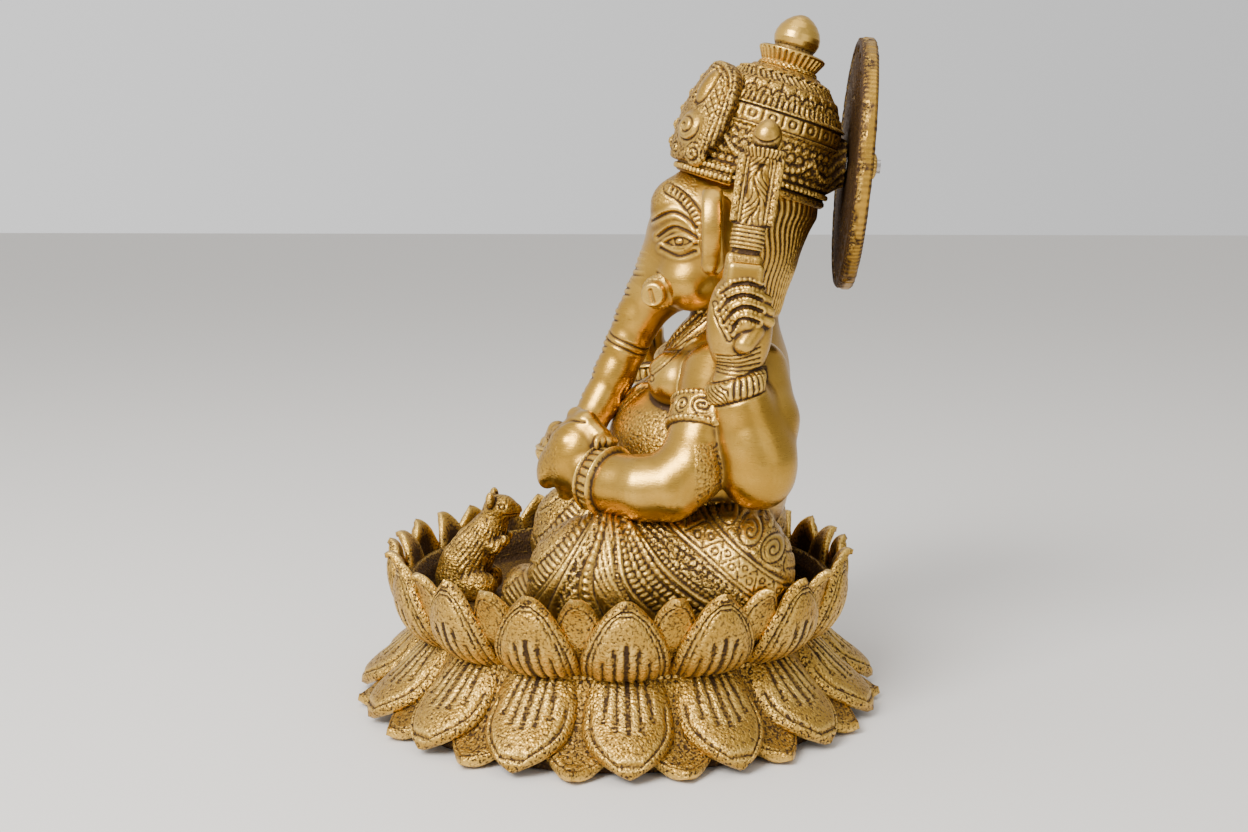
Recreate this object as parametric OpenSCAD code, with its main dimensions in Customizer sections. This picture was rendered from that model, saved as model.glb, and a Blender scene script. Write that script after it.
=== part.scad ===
// Cast brass figure of an elephant-headed deity, seated on a double lotus, with a halo disc
// behind the crown. It faces -Y, its left hand side is +X, and it stands on z = 0.
// It is made as it is cast and joined: lotus tiers, body, arms, head, crown and fittings.

/* [Lotus base] */
// Radius to the tips of the lower petals
base_r = 100; // [92:1:108]
// Height of the waist between the two tiers
waist_z = 28; // [26:1:30]
// Radius of the waist
waist_r = 72; // [70:1:74]
// Height of the deck that the figure sits on
deck_z = 34; // [33:1:36]
// Height of the tips of the upper petals
upper_tip_z = 56.4; // [52:1:60]
// Radius to the tips of the upper petals
upper_tip_r = 84.4; // [82:1:88]
// Petals round each tier
petal_count = 16; // [12:1:20]
// Angle of the first petal, from the figure's left hand side
petal_turn = 6.3; // [0:0.1:11]
// Thickness of a petal
petal_t = 4; // [3:0.5:5]
// Thickness of the cast walls of the tiers
wall = 5; // [4:0.5:6]

/* [Body] */
// Radius of the left knee
knee_r = 22; // [20:1:23]
// Radius of the upper arms
arm_r = 11.5; // [10:0.5:12]
// Half width of the belly
belly_r = 38; // [35:1:39]
// Height of the cut between body and legs
seat_z = 66; // [62:1:68]
// Height of the cut between neck and head
neck_z = 140; // [138:1:142]

/* [Head and crown] */
// Backward tilt of the crown
crown_tilt = 17; // [14:1:20]
// Radius of the crown at its lower rim
crown_r = 27; // [25:1:29]
// Height of the crown along its own axis, without the bud
crown_h = 45; // [44:1:50]
// Radius of the bud on top
bud_r = 7.5; // [6:0.5:8]
// Radius of the trunk where it leaves the face
trunk_r = 10; // [9:0.5:11]

/* [Halo] */
// Radius of the halo disc
halo_r = 45; // [42:1:46]
// Thickness of the halo disc
halo_t = 6.2; // [5:0.1:7]
// Backward lean of the halo disc
halo_lean = 4.2; // [2:0.1:6]
// Radius of the stud that carries the disc
stud_r = 2.5; // [2:0.1:3]
// Radial clearance of the disc and of the nut on the stud
running = 0.05; // [0.02:0.01:0.1]
// Gap between the faces that turn on each other
face_gap = 0.25; // [0.2:0.05:0.4]

/* [Fixings] */
// Radius of the bolt that holds the figure on the lotus
bolt_r = 4; // [3:0.5:5]
// Clearance of the bolt in its holes
bolt_gap = 0.3; // [0.2:0.05:0.5]
// Distance of the bolt behind the middle of the base
bolt_y = 36; // [30:1:42]

/* [Hidden] */

round_fn = 72;    // exact round work
soft_fn = 18;     // facets of the cast, freely shaped sections
small_fn = 10;    // facets of fingers and other thin pieces
thin_r = 5;
pitch = 360 / petal_count;
eps = 0.01;

// The waist and the deck
rim_r = base_r - 8;
washer_t = 1.6;
bolt_head_t = 5.3;
bolt_depth = 16;

// The peg of the bud in the top of the crown
peg_r = 3;
peg_depth = 8;

// Where the crown stands, and how the fittings of the hands lean
crown_at = [0, 48.5, 191];
hand_top = [50, 44.5, 162];
fitting_lean = [-8.7, -4.7, 0];

// Where the front face of the halo disc is centred, just clear of the back of the crown
halo_at = [0, crown_at[1] + crown_r + 6.9, 198.5];
nut_t = 5;
nut_r = 5.4;
stud_in = 9;

// Body sections as [x, y, z, r], from the body outwards
front_arm = [[35, 36, 123, arm_r + 0.5], [44, 33, 110, arm_r], [52, 27.5, 91, arm_r + 0.5],
             [51.5, 14, 88.5, arm_r - 0.5], [45, 2, 88.5, 10], [39, -5, 89, 9], [33, -11, 92, 10.5]];
blessing_arm = [[-35, 36, 123, arm_r + 0.5], [-44, 33, 110, arm_r], [-52, 27.5, 92, arm_r],
                [-51, 19, 100, arm_r - 1], [-49, 13, 110, 8.5], [-48, 11, 117, 7.5],
                [-48, 11, 126, 9]];
rear_arm = [[33, 52, 125, arm_r], [42, 54, 111, arm_r], [50, 51, 95, arm_r + 0.9],
            [50, 50, 104, arm_r], [50, 46, 116, 10.5], [50, 44, 125, 9], [50, 44, 138, 10.3],
            [50, 44, 152, 10], [50, 44.5, 158, 8]];
left_leg = [[26, 40, 57, 24.5], [38, 22, 55, 22.5], [48, -10, 57, knee_r]];
left_shin = [[44, -16, 48, 14], [30, -30, 44, 10], [12, -34, 42, 8.5], [-2, -32, 41, 7.5]];
right_leg = [[-26, 40, 57, 24.5], [-40, 14, 54, 22], [-45, -24, 52, 18]];
right_shin = [[-38, -28, 47, 12], [-20, -22, 46, 10], [2, -16, 45, 9]];
trunk_line = [[0, 19, 155, trunk_r + 2], [0, 12, 147, trunk_r], [0, 6, 140, trunk_r - 0.8],
              [0, 2.5, 132, trunk_r - 1.8], [0.5, -1, 123, trunk_r - 2.4],
              [2, -5, 115, trunk_r - 3.2], [5, -9.5, 108, trunk_r - 3.8],
              [10, -13, 103.5, trunk_r - 4.4], [16, -15, 102.5, trunk_r - 5]];
mouse_line = [[0, -60, 42, 10.5], [0, -58, 47, 9.8], [0, -54, 53, 8], [0, -50, 59, 6.2],
              [0, -47.5, 64, 5.2], [0, -46, 69, 6.2], [0, -41, 68.5, 3.4]];
sweet_at = [20, -19.5, 96];
sweet_r = 9.5;
sweet_gap = 0.15;

function mirrored(stations) = [for (s = stations) [-s[0], s[1], s[2], s[3]]];

// ---- shared shapes ----

module ball(s) {
    translate([s[0], s[1], s[2]]) sphere(s[3], $fn = s[3] < thin_r ? small_fn : soft_fn);
}

module egg(centre, radii) {
    translate(centre) scale(radii) sphere(1, $fn = soft_fn);
}

// A rounded limb through a row of stations
module limb(stations) {
    for (i = [0 : len(stations) - 2]) {
        hull() {
            ball(stations[i]);
            ball(stations[i + 1]);
        }
    }
}

module below(z) {
    translate([-150, -150, z - 200]) cube([300, 300, 200]);
}

module above(z) {
    translate([-150, -150, z]) cube([300, 300, 200]);
}

module on_crown_axis(h = 0) {
    translate(crown_at) rotate([-crown_tilt, 0, 0]) translate([0, 0, h]) children();
}

// The stud's axis: local z runs backwards and a little down
module on_halo_axis(d = 0) {
    translate(halo_at) rotate([-90 - halo_lean, 0, 0]) translate([0, 0, d]) children();
}

module in_left_hand() {
    translate(hand_top) rotate(fitting_lean) children();
}

module in_right_hand() {
    mirror([1, 0, 0]) in_left_hand() children();
}

// ---- lotus petals ----

// A petal wraps a cone: v runs from root to tip, u from edge to edge, side 0 is the outer face
function petal_taper(v) = v < 0.45 ? 0.8 + 0.2 * sin(200 * v) : pow(cos(90 * (v - 0.45) / 0.55), 0.7);
function petal_point(root, tip, belly, share, tip_t, u, v, side) =
    let (a = pitch / 2 * share * max(petal_taper(v), 0.05) * u,
         swell = belly * sin(180 * min(v * 1.15, 1)) * (1 - 0.45 * u * u),
         t = petal_t + (tip_t - petal_t) * min(2 * v, 1),
         r = root[0] + (tip[0] - root[0]) * v + swell - t * side,
         z = root[1] + (tip[1] - root[1]) * v)
    [r * cos(a), r * sin(a), z];

// The petal's grid of points, wrapped as one convex, cushioned shape
module petal(root, tip, belly, share, tip_t, nu, nv) {
    points = [for (side = [0, 1], j = [0 : nv - 1], i = [0 : nu - 1])
              petal_point(root, tip, belly, share, tip_t, 2 * i / (nu - 1) - 1, j / (nv - 1), side)];
    hull() {
        polyhedron(points, [for (i = [0 : len(points) - 3]) [i, i + 1, i + 2]]);
    }
}

module petal_ring(root, tip, belly, share, tip_t, turn, nu, nv) {
    for (k = [0 : petal_count - 1]) {
        rotate([0, 0, petal_turn + (k + turn) * pitch])
            petal(root, tip, belly, share, tip_t, nu, nv);
    }
}

// ---- base ----

module seat_hole(z, h) {
    translate([0, bolt_y, z - eps]) cylinder(r = bolt_r + bolt_gap, h = h + 2 * eps, $fn = round_fn);
}

// Hollow lower casting: flared drum with drooping petals
module lotus_lower_tier() {
    color("#a9853f") difference() {
        union() {
            rotate_extrude($fn = round_fn) polygon([
                [rim_r, 0], [rim_r - 1, 3], [waist_r + 9, 15], [waist_r, waist_z - 4],
                [waist_r, waist_z], [0, waist_z], [0, waist_z - wall], [waist_r - wall, waist_z - wall],
                [waist_r + 4, 15 - wall], [rim_r - wall, 0]]);
            petal_ring([waist_r, waist_z - 3], [base_r - 3, 4.5], 3.5, 0.95, 9, 0, 5, 6);
            petal_ring([waist_r + 1, waist_z - 7], [base_r, 0], 0, 0.62, 10, 0.5, 3, 5);
        }
        seat_hole(waist_z - wall, wall);
    }
}

// Upper casting: deck with a ring of standing petals
module lotus_upper_tier() {
    color("#a9853f") difference() {
        union() {
            translate([0, 0, waist_z]) cylinder(r = waist_r + 2, h = deck_z - waist_z, $fn = round_fn);
            petal_ring([waist_r, waist_z], [upper_tip_r, upper_tip_z], 5, 0.95, petal_t, 0, 5, 6);
            petal_ring([waist_r - 3, waist_z + 1], [upper_tip_r - 2, upper_tip_z], 2, 0.62, petal_t,
                       0.5, 3, 5);
        }
        seat_hole(waist_z, deck_z - waist_z);
    }
}

module seat_washer() {
    color("#8f8b80") translate([0, bolt_y, waist_z - wall - washer_t]) difference() {
        cylinder(r = bolt_r * 2.2, h = washer_t, $fn = round_fn);
        translate([0, 0, -1]) cylinder(r = bolt_r + bolt_gap, h = washer_t + 2, $fn = round_fn);
    }
}

module seat_bolt() {
    head_z = waist_z - wall - washer_t - bolt_head_t;
    color("#8f8b80") union() {
        translate([0, bolt_y, head_z]) cylinder(r = bolt_r * 1.85, h = bolt_head_t, $fn = 6);
        translate([0, bolt_y, head_z + bolt_head_t / 2])
            cylinder(r = bolt_r, h = deck_z + bolt_depth - head_z - bolt_head_t / 2, $fn = round_fn);
    }
}

// ---- body ----

module torso_body() {
    limb([[0, 43, neck_z, 16.5], [0, 42, 126, 20], [0, 38, 112, 25], [0, 34, 100, 30]]);
    hull() {
        ball([25, 44, 124, 15]);
        ball([-25, 44, 124, 15]);
    }
    egg([0, 40, 120], [36, 24, 24]);
    egg([0, 30, 95], [belly_r, 35, 30]);
    egg([0, 34, 80], [belly_r - 2, 31, 28]);
    for (side = [-1, 1]) {
        ball([side * 19, 29, 117, 11]);
        limb([[side * 25, 44, 124, 15], [side * 12, 40, 104, 22], [side * 10, 38, 84, 24]]);
    }
}

module torso() {
    color("#b08d45") difference() {
        torso_body();
        below(seat_z);
        above(neck_z);
    }
}

module lap() {
    color("#a9853f") difference() {
        union() {
            limb(left_leg);
            limb(right_leg);
            limb(left_shin);
            limb(right_shin);
            hull() {
                ball(left_leg[0]);
                ball(right_leg[0]);
            }
            hull() {
                for (side = [-1, 1]) {
                    ball([side * 32, 8, 46, 12]);
                    ball([side * 26, -16, 44, 11]);
                }
                ball([0, 26, 50, 14]);
            }
        }
        below(deck_z);
        intersection() {
            torso_body();
            above(seat_z);
        }
        translate([0, bolt_y, deck_z - 1]) cylinder(r = bolt_r + bolt_gap, h = bolt_depth + 2, $fn = 40);
    }
}

// The hand that holds the bowl of sweets
module front_left_arm() {
    color("#b08d45") difference() {
        union() {
            limb(front_arm);
            for (i = [0 : 3]) {
                limb([[35 - 2 * i, -17 - i, 83 + 2 * i, 4], [27 - 2 * i, -25, 85 + 2 * i, 3.6]]);
            }
            limb([[38, -15, 97, 4], [31, -22, 103, 3.4]]);
        }
        torso_body();
        sweet_seat();
    }
}

// The open hand raised beside the chest
module front_right_arm() {
    color("#b08d45") difference() {
        union() {
            limb(blessing_arm);
            for (i = [0 : 3]) {
                limb([[-42 - 4 * i, 9, 128, 3.4], [-42 - 4 * i, 6, 142 - abs(i - 1.5), 2.6]]);
            }
            limb([[-42, 7, 120, 3.6], [-37, 3, 129, 3]]);
        }
        torso_body();
    }
}

module rear_arm_body() {
    limb(rear_arm);
    for (i = [0 : 3]) {
        limb([[57, 36, 134 + 8 * i, 4], [44, 34.5, 133 + 8 * i, 4]]);
    }
}

module left_arm_cut() {
    torso_body();
    limb([front_arm[0], front_arm[1], front_arm[2]]);
    in_left_hand() cylinder(r = 20, h = 20);
}

module rear_left_arm() {
    color("#b08d45") difference() {
        rear_arm_body();
        left_arm_cut();
    }
}

module rear_right_arm() {
    color("#b08d45") mirror([1, 0, 0]) difference() {
        rear_arm_body();
        left_arm_cut();
    }
}

// ---- head ----

module head_body() {
    egg([0, 40, 172], [29, 25, 25]);
    limb([[0, 31, 181, 18], [0, 27, 170, 17.5], [0, 19, 157, 14]]);
    hull() {
        ball([0, 44, 158, 16]);
        on_crown_axis(-2) cylinder(r = crown_r - 1, h = 2, $fn = 36);
    }
    limb([[0, 44, 160, 17], [0, 43, neck_z, 16.5]]);
    for (side = [-1, 1]) {
        limb([[side * 12, 31, 172, 15], [side * 13, 32, 160, 15]]);
        limb([[side * 10, 30, 184, 13], [side * 14, 36, 170, 14]]);
    }
}

module head() {
    color("#b08d45") difference() {
        head_body();
        below(neck_z);
        on_crown_axis() translate([-60, -45, 0]) cube([120, 120, 60]);
        for (side = [-1, 1]) {
            tusk_root(side, 0);
        }
    }
}

// The tusks are short stubs set in collars beside the trunk
module tusk_root(side, gap) {
    translate([side * 16, 21, 154]) rotate([98, 0, side * 25]) cylinder(r = 4 - gap, h = 22, $fn = round_fn);
}

module tusk_left() {
    color("#c9a95c") translate([16, 21, 154]) rotate([98, 0, 25]) tusk_shape();
}

module tusk_right() {
    color("#c9a95c") translate([-16, 21, 154]) rotate([98, 0, -25]) tusk_shape();
}

module tusk_shape() {
    cylinder(r = 4, h = 10, $fn = round_fn);
    translate([0, 0, 10]) cylinder(r1 = 4, r2 = 2.6, h = 6, $fn = round_fn);
}

module trunk() {
    color("#b08d45") difference() {
        limb(trunk_line);
        head_body();
        torso_body();
        sweet_seat();
    }
}

// A broad, thin ear that stands out sideways
module ear_shape() {
    for (i = [0 : 7]) {
        a = 20 * i - 70;
        hull() {
            ball([27, 37, 174, 3.4]);
            ball([34 + 10 * cos(a), 36, 175 + 14 * sin(a), 2.2]);
            ball([34 + 10 * cos(a + 20), 36, 175 + 14 * sin(a + 20), 2.2]);
        }
    }
}

module ear_left() {
    color("#a9853f") difference() {
        ear_shape();
        head_body();
    }
}

module ear_right() {
    color("#a9853f") mirror([1, 0, 0]) difference() {
        ear_shape();
        head_body();
    }
}

// ---- crown ----

module crown() {
    color("#a9853f") difference() {
        union() {
            on_crown_axis() rotate_extrude($fn = round_fn) polygon([
                [0, 0], [crown_r, 0], [crown_r, 4], [crown_r - 2, 8], [crown_r - 3, 22],
                [crown_r - 1.5, 23.5], [crown_r - 3, 25], [crown_r - 4, 31], [crown_r - 9, 36],
                [crown_r - 12, 42], [9, crown_h - 1], [9, crown_h], [0, crown_h]]);
            on_halo_axis(-27) cylinder(r1 = 19, r2 = 8, h = 27 - face_gap, $fn = round_fn);
        }
        on_crown_axis(crown_h - peg_depth) cylinder(r = peg_r, h = peg_depth + 1, $fn = round_fn);
        on_halo_axis(-stud_in) cylinder(r = stud_r, h = stud_in + 1, $fn = round_fn);
        crest_cut();
        on_crown_axis(-60) translate([-60, -60, 0]) cube([120, 120, 60]);
    }
}

// The flat seat of the crest on the front of the crown
module crest_cut() {
    on_crown_axis() translate([-30, -60, 3]) cube([60, 60 - crown_r + 4, 60]);
}

module crown_crest() {
    color("#b08d45") on_crown_axis() translate([0, 4 - crown_r, 3]) rotate([90, 0, 0]) union() {
        linear_extrude(5) polygon([
            [-20, 0], [20, 0], [22, 8], [19, 17], [13, 24], [7, 29], [0, 36],
            [-7, 29], [-13, 24], [-19, 17], [-22, 8]]);
        for (side = [-1, 1]) {
            translate([side * 10, 11, 0]) cylinder(r = 6, h = 7.5, $fn = round_fn);
        }
        translate([0, 21, 0]) cylinder(r = 5, h = 7.5, $fn = round_fn);
    }
}

module crown_bud() {
    color("#c9a95c") on_crown_axis(crown_h) rotate_extrude($fn = round_fn) polygon([
        [0, -peg_depth], [peg_r, -peg_depth], [peg_r, 0], [9.5, 0], [12, 2.5], [11.5, 4], [6, 4.6],
        for (a = [-50 : 10 : 60]) [bud_r * cos(a), 10.5 + bud_r * 0.8 * sin(a)],
        [1.2, 16.8], [0, 18]]);
}

// ---- halo ----

module halo_stud() {
    color("#8f8b80") on_halo_axis(-stud_in)
        cylinder(r = stud_r, h = stud_in + halo_t + nut_t + 2 * face_gap + 1, $fn = round_fn);
}

// Cast disc with a shallow round channel in its front face
module halo_disc() {
    color("#a9853f") on_halo_axis() difference() {
        cylinder(r = halo_r, h = halo_t, $fn = round_fn);
        translate([0, 0, -1]) cylinder(r = stud_r + running, h = halo_t + 2, $fn = round_fn);
        translate([0, 0, -1]) rotate_extrude($fn = round_fn)
            polygon([[13, 0], [13, 2.2], [halo_r - 8, 2.2], [halo_r - 6, 0]]);
    }
}

module halo_nut() {
    color("#b08d45") on_halo_axis(halo_t + face_gap) difference() {
        union() {
            cylinder(r = nut_r, h = nut_t - 1, $fn = round_fn);
            translate([0, 0, nut_t - 1]) cylinder(r = nut_r - 1, h = 1, $fn = round_fn);
        }
        translate([0, 0, -1]) cylinder(r = stud_r + running, h = nut_t + 2, $fn = round_fn);
    }
}

// ---- what the hands hold ----

module goad() {
    color("#a9853f") in_left_hand() rotate_extrude($fn = round_fn) polygon([
        [0, 0], [7, 0], [6, 3.5], [5, 4], [6.5, 7], [6.5, 16], [5.5, 17], [5.5, 20], [7.5, 21],
        [7.5, 35], [5, 37], [6, 38.5], [7, 40.5], [4.5, 41.5], [5, 45], [4, 48.5], [0, 51]]);
}

module noose() {
    color("#a9853f") in_right_hand() union() {
        cylinder(r = 6, h = 10, $fn = round_fn);
        translate([0, 0, 9]) cylinder(r = 3.5, h = 6, $fn = round_fn);
        translate([0, 0, 27]) rotate([90, 0, 0]) rotate_extrude($fn = round_fn)
            translate([11.5, 0]) circle(r = 3, $fn = 32);
        translate([0, 0, 39]) cylinder(r1 = 5, r2 = 1.5, h = 9, $fn = round_fn);
    }
}

// The hollow that the sweet leaves in what holds it
module sweet_seat() {
    translate(sweet_at) sphere(sweet_r + sweet_gap, $fn = 40);
}

module sweet_bowl() {
    color("#c9a95c") translate(sweet_at) sphere(sweet_r, $fn = round_fn);
}

module mouse() {
    color("#a9853f") difference() {
        union() {
            limb(mouse_line);
            for (side = [-1, 1]) {
                hull() {
                    ball([side * 3, -46, 72, 2]);
                    ball([side * 7, -47, 72, 3]);
                }
                limb([[side * 6, -55, 50, 3.5], [side * 3, -46, 54, 2.5]]);
            }
        }
        below(deck_z);
    }
}

lotus_lower_tier();
lotus_upper_tier();
seat_bolt();
seat_washer();
lap();
torso();
front_left_arm();
front_right_arm();
rear_left_arm();
rear_right_arm();
head();
trunk();
ear_left();
ear_right();
tusk_left();
tusk_right();
crown();
crown_crest();
crown_bud();
halo_stud();
halo_disc();
halo_nut();
goad();
noose();
sweet_bowl();
mouse();
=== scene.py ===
# %% [markdown]
# # A seated brass deity on a double lotus
# The piece is a small shrine figure of cast brass, about ten inches high. It was sand cast in
# sections, the sections were joined, and a chaser then cut the bands, petals and hair with
# punches. This lesson builds each section in the shape of its casting, cuts the chased work as
# real relief, and finishes it with a dark wax in the hollows and a rubbed shine on the heights.

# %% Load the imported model
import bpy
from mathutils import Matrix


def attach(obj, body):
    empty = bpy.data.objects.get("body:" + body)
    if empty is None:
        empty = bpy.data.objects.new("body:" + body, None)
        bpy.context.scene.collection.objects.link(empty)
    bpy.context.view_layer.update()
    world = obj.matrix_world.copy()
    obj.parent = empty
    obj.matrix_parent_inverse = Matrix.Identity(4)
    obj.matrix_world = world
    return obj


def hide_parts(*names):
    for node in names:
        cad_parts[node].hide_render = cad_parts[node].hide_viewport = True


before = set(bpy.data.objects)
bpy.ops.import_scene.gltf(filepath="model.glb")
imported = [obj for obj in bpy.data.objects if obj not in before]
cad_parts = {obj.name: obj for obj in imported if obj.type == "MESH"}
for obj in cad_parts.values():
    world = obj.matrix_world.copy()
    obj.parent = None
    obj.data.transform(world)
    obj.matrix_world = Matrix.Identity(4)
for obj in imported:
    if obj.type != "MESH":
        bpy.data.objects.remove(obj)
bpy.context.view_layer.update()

# %% [markdown]
# ## Working in millimetres
# Every shape here is worked out as arrays of points with numpy, because a chased surface has a
# hundred thousand points and a loop over them would be slow. The hand works in millimetres, so
# the points do too, and they turn into metres only when a mesh is made.

# %% Numbers and small helpers
import bpy
import numpy as np
from mathutils import Vector

MM = 0.001
SEED = 7
rng = np.random.default_rng(SEED)

def lengths(v):
    return np.sqrt(np.einsum("...i,...i->...", v, v))

def ramp(x, low, high):
    """0 below low, 1 above high, and a smooth step between."""
    t = np.clip((x - low) / (high - low), 0, 1)
    return t * t * (3 - 2 * t)

def turn(x=0, y=0, z=0):
    """A rotation matrix, in degrees, about x, then y, then z."""
    (cx, cy, cz), (sx, sy, sz) = np.cos(np.radians([x, y, z])), np.sin(np.radians([x, y, z]))
    about_x = np.array([[1, 0, 0], [0, cx, -sx], [0, sx, cx]])
    about_y = np.array([[cy, 0, sy], [0, 1, 0], [-sy, 0, cy]])
    about_z = np.array([[cz, -sz, 0], [sz, cz, 0], [0, 0, 1]])
    return about_z @ about_y @ about_x

print("a ramp a quarter of the way up:", ramp(0.25, 0, 1))

# %% [markdown]
# ## Modelling in wax
# The figure's flesh is round and its parts melt into each other, like wax pushed together with
# warm fingers. Box modelling could give that, but the joins would take long hand work. Distance
# functions do it directly: each lump says how far away its skin is, two lumps are joined with
# a soft minimum, and the casting is the surface where the distance is zero.

# %% Lumps of wax
def egg(p, centre, radii, tilt=None):
    q = p - np.array(centre)
    if tilt is not None:
        q = q @ tilt
    near = lengths(q / np.array(radii))
    return near * (near - 1) / np.maximum(lengths(q / np.array(radii) ** 2), 1e-6)

def join(a, b, soft):
    h = np.clip(0.5 + 0.5 * (b - a) / soft, 0, 1)
    return b + (a - b) * h - soft * h * (1 - h)

def inside_both(a, b, soft=0.6):
    return -join(-a, -b, soft)

def limb(p, stations, soft=2.0):
    """A rounded limb through stations given as x, y, z and radius."""
    whole = None
    for a, b in zip(stations, stations[1:]):
        a, b = np.array(a, float), np.array(b, float)
        along = b[:3] - a[:3]
        t = np.clip((p - a[:3]) @ along / (along @ along), 0, 1)
        part = lengths(p - a[:3] - t[..., None] * along) - (a[3] + (b[3] - a[3]) * t)
        whole = part if whole is None else join(whole, part, soft)
    return whole

def slab(p, centre, half, corner, tilt=None):
    """A block with round corners."""
    q = p - np.array(centre)
    if tilt is not None:
        q = q @ tilt
    q = np.abs(q) - (np.array(half) - corner)
    return lengths(np.maximum(q, 0)) + np.minimum(q.max(-1), 0) - corner

def both_sides(p):
    """The same point on the left hand side, so that one lump serves both sides."""
    return np.concatenate([np.abs(p[..., :1]), p[..., 1:]], -1)

def other_side(p):
    return p * np.array([-1, 1, 1])

beside = np.array([13.0, 0, 0])
print("from a ball of radius 10 to a point 3 mm off it:", egg(beside, (0, 0, 0), (10, 10, 10)).round(2))

# %% [markdown]
# ## Pouring the casting
# A mesh is poured over a distance function by laying a grid through its box and putting one
# vertex in every cell that the skin crosses, which is called a surface net. It gives even
# quads, which divide cleanly. The finer vertices are then pressed back on to the true skin.

# %% Surface net
def sample(field, points, chunk=250000):
    return np.concatenate([field(points[i:i + chunk]) for i in range(0, len(points), chunk)])

def pour(field, low, high, step):
    counts = np.ceil((np.array(high) - low) / step).astype(int) + 1
    grid = np.stack(np.meshgrid(*[np.arange(n) for n in counts], indexing="ij"), -1)
    values = sample(field, grid.reshape(-1, 3) * step + np.array(low)).reshape(counts)
    corners = np.array([(i, j, k) for i in (0, 1) for j in (0, 1) for k in (0, 1)])
    n = counts - 1
    full = sum((values[i:i + n[0], j:j + n[1], k:k + n[2]] < 0).astype(np.int8) for i, j, k in corners)
    cells = np.argwhere((full > 0) & (full < 8))
    number = np.full(tuple(n), -1)
    number[tuple(cells.T)] = np.arange(len(cells))
    spot, hits = np.zeros((len(cells), 3)), np.zeros(len(cells))
    for corner in corners:
        for axis in np.flatnonzero(corner == 0):
            step_to = np.eye(3, dtype=int)[axis]
            a = values[tuple((cells + corner).T)]
            b = values[tuple((cells + corner + step_to).T)]
            crossed = (a < 0) != (b < 0)
            t = np.where(crossed, a / np.where(crossed, a - b, 1), 0)
            spot += np.where(crossed[:, None], cells + corner + t[:, None] * step_to, 0)
            hits += crossed
    quads = []
    for axis in range(3):
        u, v = np.eye(3, dtype=int)[[(axis + 1) % 3, (axis + 2) % 3]]
        first = np.moveaxis(values, axis, 0)
        crossed = np.moveaxis((first[:-1] < 0) != (first[1:] < 0), 0, axis)
        at = np.argwhere(crossed)
        at = at[((at > 0) | (u + v == 0)).all(1) & ((at < n) | (u + v == 0)).all(1)]
        ring = np.stack([number[tuple((at - s).T)] for s in (u + v, v, 0 * u, u)], 1)
        outwards = values[tuple(at.T)] < 0
        quads.append(np.where(outwards[:, None], ring, ring[:, ::-1]))
    quads = np.concatenate(quads)
    return np.array(low) + step * spot / hits[:, None], quads[(quads >= 0).all(1)]

def finer(points, quads):
    """Each quad becomes four."""
    sides = np.stack([quads, np.roll(quads, -1, 1)], -1).reshape(-1, 2)
    keys = sides.min(1) * len(points) + sides.max(1)
    found, where = np.unique(keys, return_inverse=True)
    middle = len(points) + where.reshape(-1, 4)
    centre = len(points) + len(found) + np.arange(len(quads))
    halves = (points[found // len(points)] + points[found % len(points)]) / 2
    quarters = [np.stack([quads[:, i], middle[:, i], centre, middle[:, i - 1]], 1) for i in range(4)]
    return np.concatenate([points, halves, points[quads].mean(1)]), np.concatenate(quarters)

def slope(field, points, here, h=0.04):
    ahead = [sample(field, points + h * axis) - here for axis in np.eye(3)]
    return np.stack(ahead, -1) / h

def press(field, points, rounds=2):
    """Moves points on to the skin, and returns them with the way out of the skin there."""
    for _ in range(rounds):
        here = sample(field, points)
        way = slope(field, points, here)
        points = points - way * np.clip(here / np.maximum((way ** 2).sum(1), 0.2), -1, 1)[:, None]
    return points, way / np.maximum(lengths(way), 1e-6)[:, None]

ball = pour(lambda p: lengths(p) - 5, (-7, -7, -7), (7, 7, 7), 1.0)
print("a 10 mm ball in 1 mm cells:", len(ball[1]), "quads, then", len(finer(*ball)[1]))

# %% [markdown]
# ## What the finish needs to know
# Wax and polish follow the shape: wax stays where a rag can't reach, and the rag brightens
# what stands out. So three values are stored on every vertex: the wax in its hollows together
# with painted shade where neighbouring forms shut out the light, how proud it stands, and how
# much it was punched with fine dots. The materials read them by name.

# %% Painted shade between forms, and hollow places
WAX_PER_MM, SHINE_PER_MM = 22, 14

def shelter(field, points, out, reaches=(1.2, 3, 7, 14)):
    """Painted shade: 0 in the open, up to 1 deep between neighbours, felt outwards with the distance field."""
    felt = [np.clip(1 - sample(field, points + out * r) / r, 0, 1) for r in reaches]
    return 1.3 * np.average(felt, axis=0, weights=(0.8, 1, 1, 0.8))

def hollowness(points, quads, out, rounds=2):
    """How far each vertex lies below the mean of its neighbours, in millimetres."""
    a, b = quads.ravel(), np.roll(quads, -1, 1).ravel()
    count = np.bincount(a, minlength=len(points)) + np.bincount(b, minlength=len(points))
    def mean_of(values):
        total = np.bincount(a, values[b], len(points)) + np.bincount(b, values[a], len(points))
        return total / np.maximum(count, 1)
    below = sum((mean_of(points[:, i]) - points[:, i]) * out[:, i] for i in range(3))
    for _ in range(rounds):
        below = 0.5 * below + 0.5 * mean_of(below)
    return below

def outward(points, quads):
    """The way out of the skin at each point, from the faces round it."""
    corner = points[quads]
    face = np.cross(corner[:, 2] - corner[:, 0], corner[:, 3] - corner[:, 1])
    per_corner = np.repeat(face, 4, axis=0)
    total = [np.bincount(quads.ravel(), per_corner[:, i], len(points)) for i in range(3)]
    total = np.stack(total, 1)
    return total / np.maximum(lengths(total), 1e-9)[:, None]

stands = -hollowness(*ball, outward(*ball))
print("the ball's points stand proud of their neighbours by", stands.mean().round(2), "mm")
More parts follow.
